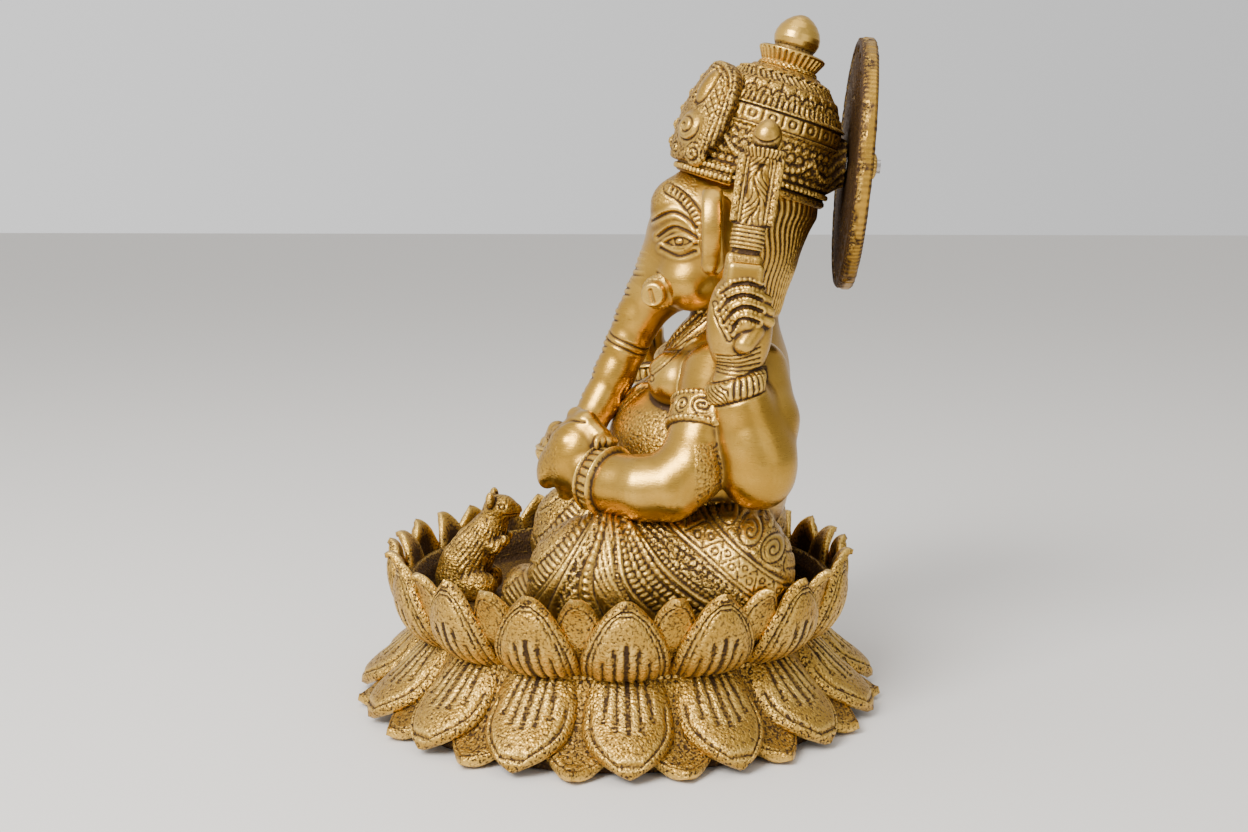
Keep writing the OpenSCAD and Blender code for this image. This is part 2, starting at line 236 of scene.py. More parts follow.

# %% [markdown]
# ## From points to a piece
# A mesh this dense is filled with whole arrays, since adding its vertices one by one would take
# minutes. The piece then says which part of the imported model it stands for, which body it rides
# and which metal it is, so that it moves with the rest.

# %% Make a piece
def make_piece(name, points, quads, nodes, material, body="statue", wax_and_shade=0, dots=0,
               slot="antique_brass"):
    """A mesh object from points in millimetres, with the finish's values on its vertices."""
    out = outward(points, quads)
    below = hollowness(points, quads, out)
    mesh = bpy.data.meshes.new(name)
    mesh.vertices.add(len(points))
    mesh.vertices.foreach_set("co", (points * MM).astype(np.float32).ravel())
    mesh.loops.add(quads.size)
    mesh.loops.foreach_set("vertex_index", quads.astype(np.int32).ravel())
    mesh.polygons.add(len(quads))
    mesh.polygons.foreach_set("loop_start", np.arange(0, quads.size, 4, dtype=np.int32))
    mesh.polygons.foreach_set("use_smooth", np.ones(len(quads), bool))
    # The first layer is the wax in the chased hollows plus the painted shade passed in for each piece.
    layers = {
        "wax_and_shade": wax_and_shade + np.clip(below * WAX_PER_MM, 0, 1),
        "proud": np.clip(-below * SHINE_PER_MM, 0, 1),
        "dots": dots,
    }
    for layer, values in layers.items():
        made = mesh.attributes.new(layer, "FLOAT", "POINT")
        values = np.broadcast_to(np.clip(values, 0, 1), len(points))
        made.data.foreach_set("value", values.astype(np.float32))
    mesh.validate()
    mesh.update()
    piece = bpy.data.objects.new(name, mesh)
    bpy.context.scene.collection.objects.link(piece)
    mesh.materials.append(material)
    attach(piece, body)
    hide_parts(*nodes)
    print(f"{name}: {len(quads)} faces")
    return piece

# %% [markdown]
# ## Nodes by name
# A node tree drawn by hand is quick to start and hard to read back. These helpers add one node
# each and wire it in the same breath, so the tree below reads like sums.

# %% Node helpers
def connect(tree, value, socket):
    """A link if the value is an output socket, or else the socket's own number or colour."""
    if isinstance(value, bpy.types.NodeSocket):
        tree.links.new(value, socket)
    else:
        socket.default_value = value

def add_node(tree, kind, **inputs):
    node = tree.nodes.new(kind)
    for key, value in inputs.items():
        connect(tree, value, node.inputs[key.replace("_", " ")])
    return node

def maths(tree, operation, a, b=0.0, c=0.0, clamp=False):
    node = tree.nodes.new("ShaderNodeMath")
    node.operation = operation
    node.use_clamp = clamp
    for value, socket in zip((a, b, c), node.inputs):
        connect(tree, value, socket)
    return node.outputs[0]

def blend_colour(tree, amount, a, b):
    node = tree.nodes.new("ShaderNodeMix")
    node.data_type = "RGBA"
    factor, first, second = node.inputs[0], node.inputs[6], node.inputs[7]
    for value, socket in zip((amount, a, b), (factor, first, second)):
        connect(tree, value, socket)
    return node.outputs[2]

def stored(tree, name):
    """A value that make_piece stored on the vertices."""
    node = tree.nodes.new("ShaderNodeAttribute")
    node.attribute_name = name
    return node.outputs["Fac"]

print("node helpers: connect, add_node, maths, blend_colour, stored")

# %% [markdown]
# ## Old brass
# Real antique brass is one metal seen three ways: rubbed bright on the heights, plain on the
# slopes and brown with old wax in the hollows, and the same brown is painted as shade where
# forms close in. Painting three materials would leave hard borders, so one node group mixes
# them from the stored values and each material gives it its own amounts. The chaser's fine
# punch marks are too small for the mesh, so they are a bump.

# %% Node group: sockets and noises
waxed = bpy.data.node_groups.new("waxed brass", "ShaderNodeTree")
takes = {
    "Heights": (0.86, 0.56, 0.13, 1),
    "Slopes": (0.45, 0.245, 0.034, 1),
    "Wax": (0.045, 0.020, 0.005, 1),
    "Wax amount": 1.0,
    "Dot amount": 1.0,
    "Brushing": 0.3,
}
gives = {"Colour": "NodeSocketColor", "Roughness": "NodeSocketFloat",
         "Metallic": "NodeSocketFloat", "Height": "NodeSocketFloat"}
for label, value in takes.items():
    kind = "NodeSocketColor" if isinstance(value, tuple) else "NodeSocketFloat"
    waxed.interface.new_socket(label, in_out="INPUT", socket_type=kind).default_value = value
for label, kind in gives.items():
    waxed.interface.new_socket(label, in_out="OUTPUT", socket_type=kind)
given = waxed.nodes.new("NodeGroupInput").outputs
place = waxed.nodes.new("ShaderNodeTexCoord").outputs["Object"]

def noise(scale, detail, where=place):
    node = add_node(waxed, "ShaderNodeTexNoise", Vector=where, Scale=scale, Detail=detail)
    return node.outputs["Fac"]

stretched = add_node(waxed, "ShaderNodeMapping", Vector=place, Scale=(260, 260, 3200)).outputs[0]
cloud = noise(55.0, 4.0)
grit = noise(900.0, 3.0)
grain = noise(1050.0, 2.0)
brush = noise(1.0, 3.0, stretched)
punch = add_node(waxed, "ShaderNodeTexVoronoi", Vector=place, Scale=1000.0).outputs["Distance"]
print("waxed brass takes", ", ".join(takes), "and gives", ", ".join(gives))

# %% [markdown]
# ## Where the wax and the painted shade go
# Wax fills the chased hollows and painted shade darkens the places where forms close in; both
# thin out where the metal stands proud, and the wax comes in clouds because it was wiped on by
# hand. In punched ground it stays in every pit, so the dots add specks of it. The same shade then
# darkens the colour, dulls the shine and hides the metal.

# %% Node group: wax and painted shade, colour and relief
def times(a, b):
    return maths(waxed, "MULTIPLY", a, b)

def plus(a, b):
    return maths(waxed, "ADD", a, b)

def minus(a, b):
    return maths(waxed, "SUBTRACT", a, b)

dots = times(stored(waxed, "dots"), given["Dot amount"])
proud = stored(waxed, "proud")
specks = maths(waxed, "MULTIPLY", minus(grain, 0.5), 7.0, clamp=True)
pits = maths(waxed, "MULTIPLY_ADD", dots, 0.9, 0.12)
# The stored value is wax in the hollows plus painted shade between forms, scaled per material.
shade = times(stored(waxed, "wax_and_shade"), given["Wax amount"])
shade = plus(shade, times(minus(cloud, 0.5), 0.35))
shade = plus(shade, times(minus(grit, 0.5), pits))
shade = plus(shade, times(specks, times(dots, 1.15)))
shade = maths(waxed, "SUBTRACT", shade, times(proud, 0.35), clamp=True)
rubbed = maths(waxed, "ADD", times(proud, 0.8), times(minus(cloud, 0.45), 0.8), clamp=True)
metal = blend_colour(waxed, rubbed, given["Slopes"], given["Heights"])
rough = maths(waxed, "MULTIPLY_ADD", shade, 0.3, 0.27)
rough = plus(rough, times(minus(brush, 0.4), given["Brushing"]))
relief = times(minus(1.0, punch), dots)
relief = minus(relief, times(specks, times(dots, 0.5)))
relief = plus(relief, times(brush, times(given["Brushing"], 0.35)))
results = waxed.nodes.new("NodeGroupOutput").inputs
connect(waxed, blend_colour(waxed, shade, metal, given["Wax"]), results["Colour"])
connect(waxed, plus(rough, times(dots, 0.08)), results["Roughness"])
connect(waxed, minus(1.0, times(shade, 0.35)), results["Metallic"])
connect(waxed, plus(relief, times(grit, 0.12)), results["Height"])
print("waxed brass:", len(waxed.nodes), "nodes")

# %% [markdown]
# ## Three amounts of the same brass
# The base and the crown were never rubbed, the limbs are satin from handling, and the knob,
# the tusks and the nut shine. They share the node group, so a change to the wax and the painted
# shade reaches all three, and each says only how much of it there is.

# %% Brass materials
def brass(name, **amounts):
    material = bpy.data.materials.new(name)
    material.use_nodes = True
    tree = material.node_tree
    shader = tree.nodes["Principled BSDF"]
    group = tree.nodes.new("ShaderNodeGroup")
    group.node_tree = waxed
    for label, value in amounts.items():
        group.inputs[label.replace("_", " ")].default_value = value
    bump = add_node(tree, "ShaderNodeBump", Height=group.outputs["Height"], Strength=0.7, Distance=0.0005)
    connect(tree, group.outputs["Colour"], shader.inputs["Base Color"])
    connect(tree, group.outputs["Roughness"], shader.inputs["Roughness"])
    connect(tree, group.outputs["Metallic"], shader.inputs["Metallic"])
    connect(tree, bump.outputs["Normal"], shader.inputs["Normal"])
    return material

cast_brass = brass("cast brass")
# The satin brass carries more wax and painted shade, so its hollows and the places between its forms come out
# darker.
flesh_brass = brass("satin brass", Dot_amount=0.6, Wax_amount=1.15, Brushing=0.22)
rubbed_brass = brass("rubbed brass", Wax_amount=0.7, Dot_amount=0.3, Brushing=0.12,
                     Slopes=(0.62, 0.37, 0.07, 1))
print("materials:", cast_brass.name, "/", flesh_brass.name, "/", rubbed_brass.name)

# %% [markdown]
# ## The chaser's marks
# Chased work is a small stock of marks used over and over: a line, a row of beads, a ladder of
# ticks, a scroll, a ring. Each is a function of two distances on the surface, in millimetres,
# and gives how far the metal stands up or is cut in. They add up like strokes.

# %% Marks
def line(distance, width=0.45, depth=0.5):
    return -depth * np.exp(-(distance / width) ** 2)

def near(a, pitch):
    """Signed distance to the nearest multiple of the pitch."""
    return (a / pitch - np.round(a / pitch)) * pitch

def ticks(a, pitch, width=0.4, depth=0.5):
    return line(near(a, pitch), width, depth)

def bead_row(a, b, pitch, r, high=0.7):
    return high * np.sqrt(np.clip(1 - (near(a, pitch) ** 2 + b ** 2) / r ** 2, 0, 1))

def ring(a, b, r, width=0.4, depth=0.5):
    return line(np.hypot(a, b) - r, width, depth)

def scroll(a, b, r, pitch, hand=1, width=0.45, depth=0.5):
    """A spiral cut inside a circle."""
    far, angle = np.hypot(a, b), np.arctan2(b * hand, a)
    cut = line(near(far - pitch * angle / (2 * np.pi), pitch), width, depth)
    return cut * ramp(-far, -r, -r + 0.6)

def within(x, low, high, edge=0.4):
    """1 between the two values and 0 outside them, with a short slope."""
    return ramp(x, low - edge, low) * ramp(-x, -high - edge, -high)

def raised(distance, width, high, power=2):
    """A rounded rib, or with power 4 a flat band."""
    return high * np.exp(-(distance / width) ** power)

print("a line is cut", -line(0.0), "mm deep, and a bead stands", bead_row(0.0, 0.0, 2, 1), "mm high")

# %% [markdown]
# ## Punched grains
# A matting punch leaves a field of small uneven grains. A noise texture could only look like
# them, while these are real bumps that catch the light: each cell of a grid holds one grain,
# pushed off its middle by a number that depends on the cell alone, so it never changes.

# %% Grains
def scattered(cell_a, cell_b, along_a, along_b, size):
    """A number from -0.5 to 0.5 for each cell, always the same for the same cell."""
    seed = np.sin(cell_a * along_a + cell_b * along_b) * size
    return seed - np.floor(seed) - 0.5

def grains(a, b, pitch, high=0.3):
    cell_a, cell_b = np.floor(a / pitch), np.floor(b / pitch)
    nearest = np.full(np.shape(a), 9.0)
    for i in (-1, 0, 1):
        for j in (-1, 0, 1):
            ca, cb = cell_a + i, cell_b + j
            spot_a = (ca + 0.5 + 0.7 * scattered(ca, cb, 127.1, 311.7, 43758.5453)) * pitch
            spot_b = (cb + 0.5 + 0.7 * scattered(ca, cb, 269.5, 183.3, 24634.6345)) * pitch
            nearest = np.minimum(nearest, np.hypot(a - spot_a, b - spot_b))
    return high * (0.5 - np.clip(nearest / pitch, 0, 0.9))

print("grains at three places:", grains(np.array([0.0, 0.7, 1.4]), np.zeros(3), 1.3).round(2))

# %% [markdown]
# ## Strokes along a curve
# Lids, brows, ropes and wrinkles are strokes drawn on a flat plane by a few points each. The
# curve passes smoothly through its points, and what counts for a mark is the distance to it
# and how far along it one has come.

# %% Curves
def through(points, count):
    """A smooth curve through given points, as evenly spaced places on it."""
    points = np.array(points, float)
    ends = np.concatenate([[2 * points[0] - points[1]], points, [2 * points[-1] - points[-2]]])
    t = np.linspace(0, 1, 24, endpoint=False)[:, None]
    runs = []
    for a, b, c, d in zip(ends, ends[1:], ends[2:], ends[3:]):
        bend = (2 * a - 5 * b + 4 * c - d) * t ** 2 + (3 * b - a - 3 * c + d) * t ** 3
        runs.append(0.5 * (2 * b + (c - a) * t + bend))
    fine = np.concatenate(runs + [points[-1:]])
    gone = np.concatenate([[0], np.cumsum(lengths(np.diff(fine, axis=0)))])
    at = np.linspace(0, gone[-1], count)
    return np.stack([np.interp(at, gone, fine[:, i]) for i in range(fine.shape[1])], 1), at

def path_distance(a, b, way, count=28):
    """Distance from (a, b) to a smooth path drawn on the same plane, and the length along it."""
    path, gone = through(way, count)
    best, at = np.full(np.shape(a), 99.0), np.zeros(np.shape(a))
    for (pa, pb), (qa, qb), start in zip(path, path[1:], gone):
        da, db = qa - pa, qb - pb
        t = np.clip(((a - pa) * da + (b - pb) * db) / (da * da + db * db), 0, 1)
        away = np.hypot(a - pa - t * da, b - pb - t * db)
        closer = away < best
        best = np.where(closer, away, best)
        at = np.where(closer, start + t * np.hypot(da, db), at)
    return best, at

print("length of a bent stroke:", through([(0, 0), (5, 2), (10, 0)], 20)[1][-1].round(2), "mm")

# %% [markdown]
# ## Lotus petals
# A petal is a cushioned leaf that starts at the waist and follows a bent line outwards. Its
# skin is one tube of points flattened into a leaf: across it runs u from edge to edge, along
# it runs v from root to tip. So the border and the grooves are simply marks at given distances
# from the edge and the root, and no petal needs its own drawing.

# %% One petal
def leaf_width(v, root, widest, blunt):
    """Half width of a petal as a share of its greatest, from the root to a blunt tip."""
    rise = root + (1 - root) * np.sin(np.pi / 2 * np.clip(v / widest, 0, 1))
    fall = np.clip(1 - (np.clip(v - widest, 0, 1) / (1 - widest)) ** blunt, 0, 1) ** 0.86
    return rise * fall

def closed_grid(rows, columns):
    """Quads over a grid of points whose last column meets its first."""
    i, j = np.meshgrid(np.arange(rows - 1), np.arange(columns), indexing="ij")
    k = (j + 1) % columns
    corners = [i * columns + j, i * columns + k, (i + 1) * columns + k, (i + 1) * columns + j]
    return np.stack(corners, -1).reshape(-1, 4)

def petal(way, half_width, thick, cushion, marks, root=0.8, widest=0.42, blunt=1.75, along=72,
          across=46, under=12):
    path, gone = through(way, along)
    tangent = np.gradient(path, axis=0)
    tangent /= lengths(tangent)[:, None]
    out = np.stack([-tangent[:, 1], tangent[:, 0]], 1)
    out *= np.sign(out[along // 3, 0])
    v = gone / gone[-1]
    half = half_width * leaf_width(v, root, widest, blunt) + 0.05
    front = np.sin(np.linspace(-np.pi / 2, np.pi / 2, across))
    rear = np.sin(np.linspace(np.pi / 2, -np.pi / 2, under + 2))[1:-1]
    u = np.concatenate([front, rear])
    upper = np.arange(len(u)) < across
    side = u[None] * half[:, None]
    thinner = 0.55 + 0.45 * ramp(1 - v, 0, 0.12)[:, None]
    lift = thick / 2 * np.sqrt(np.clip(1 - u ** 6, 0, 1)) * np.where(upper, 1, -1) * thinner
    swell = np.where(upper, cushion, cushion * 0.7) * (1 - u ** 2)
    lift = lift + swell * np.sin(np.pi * v ** 0.8)[:, None]
    edge = np.minimum(half[:, None] - np.abs(side), ((gone[-1] - gone) * 0.8)[:, None])
    cut, dot = marks(side, gone[:, None] + 0 * side, edge, gone[-1])
    lift = lift + np.where(upper, cut, 0)
    dot = np.where(upper, dot + 0 * edge, 0.6)
    r = path[:, :1] + out[:, :1] * lift
    z = path[:, 1:] + out[:, 1:] * lift
    angle = side / np.maximum(path[:, :1], 60)
    points = np.stack([r * np.cos(angle), r * np.sin(angle), z], -1).reshape(-1, 3)
    quads = closed_grid(along, len(u))
    hangs = tangent[along // 3, 1] < 0
    return points, quads[:, ::-1] if hangs else quads, dot.reshape(-1)

print("share of the width at five places:", leaf_width(np.linspace(0, 1, 5), 0.8, 0.5, 2.3).round(2))

# %% [markdown]
# ## Rings and turned shapes
# The founder pressed one petal pattern sixteen times round the wax, so copies differ only by
# the slip of a hand. Drums, beads and plates were turned. A turned shape is a profile of
# radius and height swept round, with extra points along it for the marks.

# %% Rings, turning and gathering
PETALS, FIRST_PETAL = 16, 6.3

def ring_of(points, quads, dots, half_step):
    """Copies round the base, each a little different."""
    everything = [[], [], []]
    for k in range(PETALS):
        angle = np.radians(FIRST_PETAL) + (k + half_step) * 2 * np.pi / PETALS + rng.normal(0, 0.006)
        own = points * (1, 1 + rng.normal(0, 0.03), 1 + rng.normal(0, 0.006))
        everything[0].append(own @ turn(z=np.degrees(angle)).T)
        everything[1].append(quads + k * len(points))
        everything[2].append(dots)
    return tuple(np.concatenate(part) for part in everything)

def along_profile(profile, fine):
    """Distance along a profile, radius and height, at its own points and every fine step."""
    profile = np.array(profile, float)
    gone = np.concatenate([[0], np.cumsum(lengths(np.diff(profile, axis=0)))])
    at = np.unique(np.concatenate([gone, np.arange(0, gone[-1], fine)]))
    return at, np.interp(at, gone, profile[:, 0]), np.interp(at, gone, profile[:, 1])

def lathe(profile, turns=256, fine=1.2):
    _, r, z = along_profile(profile, fine)
    angle = np.linspace(0, 2 * np.pi, turns, endpoint=False)
    r, z = r[:, None], z[:, None]
    points = np.stack([r * np.cos(angle), r * np.sin(angle), z + 0 * angle], -1)
    return points.reshape(-1, 3), closed_grid(len(points), turns)

def gather(*parts):
    """Several sets of points and quads, with their dots, as one."""
    shift, points, quads, dots = 0, [], [], []
    for p, q, d in parts:
        points.append(p)
        quads.append(q + shift)
        dots.append(np.broadcast_to(d, len(p)))
        shift += len(p)
    return np.concatenate(points), np.concatenate(quads), np.concatenate(dots)

print(PETALS, "petals,", 360 / PETALS, "degrees apart")

# %% [markdown]
# ## The lower tier
# Its broad petals hang from the waist and end in a thick lip just above the table. Narrow
# ones show between them and touch it. Grooves run down each petal and end in a punched ring,
# and a line follows the edge. A flared drum carries the petals, and beads close the waist.

# %% Lower tier
LANES = range(-2, 3)

def grooves(side, gone, total, apart, spread, longest, shorter, width, depth, fade):
    """Grooves side by side down a petal, the middle one longest, and where each one ends."""
    cut, ends = 0 * side, []
    for i in LANES:
        across, end = side - i * (apart + spread * gone), total * (longest - shorter * i * i)
        cut = cut + line(across, width, depth) * ramp(-gone, -end, -end + fade)
        ends.append((across, gone - end))
    return cut, ends

def hanging_marks(side, gone, edge, total):
    cut = line(edge - 3.0, 0.5, 0.85) * ramp(gone, total * 0.25, total * 0.4)
    lanes, ends = grooves(side, gone, total, 2.7, 0.07, 0.60, 0.035, 0.55, 0.85, 1.5)
    for across, past in ends:
        lanes = lanes + ring(across, past - 0.8, 0.9, 0.4, 0.6)
    dot = 0.8 + 0.2 * ramp(-edge, -3.0, -2.2)
    return cut + lanes + grains(side, gone, 1.3, 0.16), dot

def plain_marks(side, gone, edge, total):
    return line(edge - 2.0, 0.45, 0.4) + grains(side, gone, 1.2, 0.28), 1.0

hanging = petal([(71.5, 27.5), (75.5, 21.5), (80.5, 15.8), (86, 11.6), (91.5, 8.4), (95.3, 5.6),
                 (97.2, 3.0), (97.9, 1.8)],
                15.2, 4.8, 3.0, hanging_marks, root=0.8, widest=0.5, blunt=2.3)
between = petal([(71.5, 26), (76.3, 19.3), (82, 12.6), (88, 7), (93.4, 3.4), (96.8, 2.7), (99.4, 3.2)],
                12.5, 4.8, -1.0, plain_marks, root=0.75, widest=0.6, blunt=1.6, along=52, across=30)
drum = lathe([(71.2, 28), (71.6, 26), (73.6, 22), (79, 15), (84.5, 8), (88, 3.4), (88.4, 0.3),
              (85, 0.3), (79, 9), (68, 22), (20, 22)])
beads, bead_quads = lathe([(70, 29.4), (73.4, 29), (74.3, 28.2), (74.3, 27.2), (73.4, 26.4), (70, 26)],
                          turns=720, fine=0.6)
WAIST_BEADS = 180
round_waist = np.arctan2(beads[:, 1], beads[:, 0])
beads = beads * (1 + 0.008 * np.abs(np.sin(round_waist * WAIST_BEADS / 2)))[:, None]
lower = gather(ring_of(*hanging, 0), ring_of(*between, 0.5), (*drum, 1.0),
               (beads, bead_quads[:, ::-1], 0.7))
height = lower[0][:, 2]
lower[0][:, 2] = np.maximum(height, 0)
# Painted shade: the drum behind the petals and the waist under the upper tier are darkened.
behind_petals = lengths(lower[0][:, :2]) - (100 - height)
deep = 0.5 * ramp(-behind_petals, -0.5, 4.0) + 0.3 * ramp(height, 22, 27)
make_piece("lotus_lower", *lower[:2], ["lotus_lower_tier"], cast_brass, wax_and_shade=deep, dots=lower[2])

# %% [markdown]
# ## The upper tier
# The same petal stands up here, and the small leaves between curl their tips outwards. A
# turned bowl behind them ends in the deck that the figure sits on. The bowl inside the ring of
# petals and the foot of the tier get painted shade.

# %% Upper tier
def standing_marks(side, gone, edge, total):
    cut = line(edge - 2.5, 0.5, 0.8) + line(edge - 3.9, 0.4, 0.6)
    lanes, _ = grooves(side, gone, total, 3.5, 0.02, 0.62, 0.05, 0.6, 0.9, 2.5)
    dot = 0.75 + 0.25 * ramp(-edge, -3.0, -2.4)
    return cut + lanes + grains(side, gone, 1.3, 0.14), dot

def curl_marks(side, gone, edge, total):
    return line(edge - 1.8, 0.4, 0.5) + grains(side, gone, 1.2, 0.14), 0.8

standing = petal([(72.5, 29), (76, 31.2), (79.8, 36), (82.4, 42), (83.8, 48), (84.2, 53),
                  (85.6, 56.6), (87.4, 57.8)],
                 14.9, 4.0, 3.2, standing_marks, root=0.95, widest=0.28, blunt=1.9)
curled = petal([(76, 36), (79.8, 42), (81.0, 47), (82.2, 51.5), (84.2, 54.8), (86.4, 56.4),
                (88.4, 56.2)],
               8.6, 3.4, 0.8, curl_marks, root=1.0, widest=0.35, along=56, across=30)
bowl = lathe([(70.5, 27.5), (73, 28.4), (75.6, 31.6), (79, 37), (81, 42), (80.6, 45.4), (78.4, 46),
              (76, 42), (74.5, 36), (73.5, 34.2), (0.5, 34.2)])
upper = gather(ring_of(*standing, 0), ring_of(*curled, 0.5), (*bowl, 1.0))
reach, height = lengths(upper[0][:, :2]), upper[0][:, 2]
# Painted shade: the bowl behind the petals and the foot of the tier are darkened.
petal_faces = np.interp(height, [28, 38, 48, 57], [75, 82.4, 84.6, 83])
deep = 0.75 * ramp(petal_faces - reach, 0.8, 4.5)
deep = np.maximum(deep, 0.6 * ramp(-height, -30.5, -28))
make_piece("lotus_upper", *upper[:2], ["lotus_upper_tier"], cast_brass, wax_and_shade=deep, dots=upper[2])

# %% [markdown]
# ## Soft seams
# On the real figure the arms, head and trunk were cast with the body or run together with
# solder, so no joint line shows. Each piece here keeps its own mesh, but its skin bends
# towards its neighbours near the seam and then dives inside them.

# %% Cast a piece against its neighbours
def seamed(own, neighbours, soft):
    def field(p):
        mine = own(p)
        if not neighbours:
            return mine
        others = neighbours[0](p)
        for more in neighbours[1:]:
            others = np.minimum(others, more(p))
        over = np.maximum(mine - others, 0)
        return join(mine, others, soft) + 0.1 * over + 0.3 * over ** 2
    return field

def cast_part(name, own, neighbours, low, high, nodes, marks, material, step=1.0, soft=3.0, **more):
    field = seamed(own, neighbours, soft)
    points, quads = finer(*pour(field, np.array(low, float), np.array(high, float), step))
    points, out = press(field, points)
    relief, dots = marks(points, out)
    # Painted shade where neighbouring forms close in, felt with the distance field.
    deep = shelter(field, points, out)
    return make_piece(name, points + out * relief[:, None], quads, nodes, material,
                      wax_and_shade=deep, dots=dots, **more)

def cast_pair(name, own, neighbours, low, high, nodes, marks, material, middle, **more):
    """The left and the right piece of a pair, each cut off before the middle of the figure."""
    for word, side in (("left", 1), ("right", -1)):
        near_x, far_x = sorted([side * low[0], side * high[0]])
        one_side = (lambda p, side=side: np.maximum(own(p), middle - side * p[..., 0]))
        cast_part(name + word, one_side, neighbours(side), (near_x, *low[1:]), (far_x, *high[1:]),
                  [nodes.format(word)], marks, material, **more)

print("every casting: poured, made finer, pressed to its skin, then marked")

# %% [markdown]
# ## The body in wax
# All the flesh is set out first, as functions, because each piece has to know its neighbours.
# The figure is the same on both sides except for its front arms: the left one holds a bowl of
# sweets at the belly, and the right one is raised with an open palm.

# %% Torso and front arms as functions
SHOULDER = (31, 37, 124, 13)

def torso(p):
    q = both_sides(p)
    body = join(egg(q, (0, 40, 120), (36, 24, 24)), egg(q, (0, 30, 95), (37, 34, 29)), 5)
    body = join(body, egg(q, (0, 34, 80), (36, 30, 27)), 6)
    body = join(body, limb(q, [(0, 44, 148, 15), (0, 42, 132, 18)]), 7)
    return join(body, egg(q, (20.5, 24.5, 121.5), (13, 12.5, 11)), 1.6)

def front_left(p):
    return limb(p, [SHOULDER, (42, 33.5, 112, 11.2), (50, 28.5, 95, 11.6), (51.5, 21, 89, 11.6),
                    (50.5, 12, 88, 11), (46, 3, 88.3, 10.2), (41, -3, 89, 9.3), (37, -8, 91, 9)], 3)

def left_hand(p):
    hand = egg(p, (32.5, -12.5, 96), (11.5, 11.5, 14.5), turn(x=-14))
    hand = join(hand, egg(p, (31, -21, 93), (8, 5.5, 10), turn(x=-20)), 1.6)
    for k in range(4):
        knuckle = (28 + k * 3.5, -20 + k * 1.6, 104 - k * 0.8, 3.6)
        tip = (20 + 4 * k, -23 + 2.2 * k, 98 - k * 5, 3.5)
        hand = join(hand, limb(p, [knuckle, tip]), 1.2)
    thumb = limb(p, [(38, -4, 103, 4.5), (35, -9, 108, 4), (29, -13, 109.5, 3.4)])
    return join(hand, thumb, 1.5)

def whole_left(p):
    return join(front_left(p), left_hand(p), 2)

def blessing_arm(p):
    q = other_side(p)
    arm = limb(q, [SHOULDER, (43, 33, 111, 11.3), (51, 27.5, 93, 11.5), (50.5, 19, 97, 10.8),
                   (49, 13.5, 109, 8.6), (48, 11.5, 117, 7.4), (48, 11, 122, 7.6)], 3)
    arm = join(arm, slab(q, (48, 10.5, 128), (8, 4.2, 8.5), 3.6), 3)
    for k in range(4):
        foot, tip = 42.3 + 3.9 * k, 144.2 - 1.6 * abs(k - 1.4)
        arm = join(arm, limb(q, [(foot, 10.5, 133, 2.5), (foot - 0.4 + 0.3 * k, 9.5, tip - 3, 2.1)]), 0.7)
    return join(arm, limb(q, [(41.5, 9.5, 124, 2.8), (38.4, 8, 130, 2.4), (38, 7.6, 133.5, 2)]), 1.2)

print("from the axis of the base to the belly's skin:", torso(np.array([[0, 0, 95.0]])).round(1), "mm")

# %% [markdown]
# ## Rear arms and their fists
# The rear arms rise behind the shoulders and close round what they hold. A fist this small is
# one smooth lump with the fingers laid over it as ribs. One function serves both arms, since
# the same pattern was used for both.

# %% Rear arm as a function
FINGERS = (((42, 37.2, 149), (56.5, 42, 155.8), (58, 47, 156.6), (55, 53.4, 153)),
           ((44, 36.6, 144), (57.5, 42.6, 151.4), (58.8, 47, 153), (56, 54, 149.5)),
           ((46, 36, 139), (58.2, 43.5, 147.6), (59.3, 47, 148.9), (56, 54.2, 146)))

def rear_arm(p):
    q = both_sides(p)
    arm = limb(q, [(31, 50, 126, 12), (42, 54, 111, 11), (50, 52, 98, 12), (50, 51.2, 94, 12.2),
                   (50, 49, 105, 11.6), (50, 46, 116, 10), (50, 44, 124, 9)], 3)
    hand = egg(q, (50, 44.4, 144), (9, 11.2, 19))
    hand = join(hand, slab(q, (50, 46, 160.5), (6.6, 6.2, 5), 2, turn(x=-6)), 1.6)
    for finger in FINGERS:
        hand = join(hand, limb(q, [(*spot, 2.0) for spot in finger], 1.5), 0.7)
    hand = join(hand, limb(q, [(56.5, 50, 145, 2.4), (58.5, 46.8, 145.4, 2.2), (57.5, 43, 143, 2)], 1), 0.7)
    hand = join(hand, limb(q, [(56, 49, 143, 3.6), (58.3, 46, 138.6, 3.4)], 1), 0.7)
    return join(arm, hand, 2)

print("ribs over each fist:", len(FINGERS))

# %% [markdown]
# ## Head and trunk
# The skull is a cluster of eggs: crown, nape, brow and cheek. It is cut flat under the crown,
# which was cast apart. The trunk is one long tapering limb that bends down to the sweets.

# %% Head and trunk as functions
RIM_LEAN = np.radians(17)

def head(p):
    q = both_sides(p)
    skull = join(egg(q, (0, 41, 173), (28.5, 25, 24)), egg(q, (0, 48, 160), (20, 14, 19)), 6)
    skull = join(skull, limb(q, [(0, 49.5, 183, 23.2), (0, 46.8, 168, 18), (0, 45, 152, 15)]), 5)
    skull = join(skull, limb(q, [(0, 33, 179, 20), (0, 29, 171, 19), (0, 22, 160, 14.5)]), 6)
    skull = join(skull, egg(q, (10, 22.5, 184), (10, 10, 9.5)), 5)
    skull = join(skull, egg(q, (13, 27, 157), (11, 12, 11)), 5)
    above_rim = (q[..., 1] - 49.5) * np.sin(RIM_LEAN) + (q[..., 2] - 192.5) * np.cos(RIM_LEAN)
    return inside_both(skull, above_rim, 1.0)

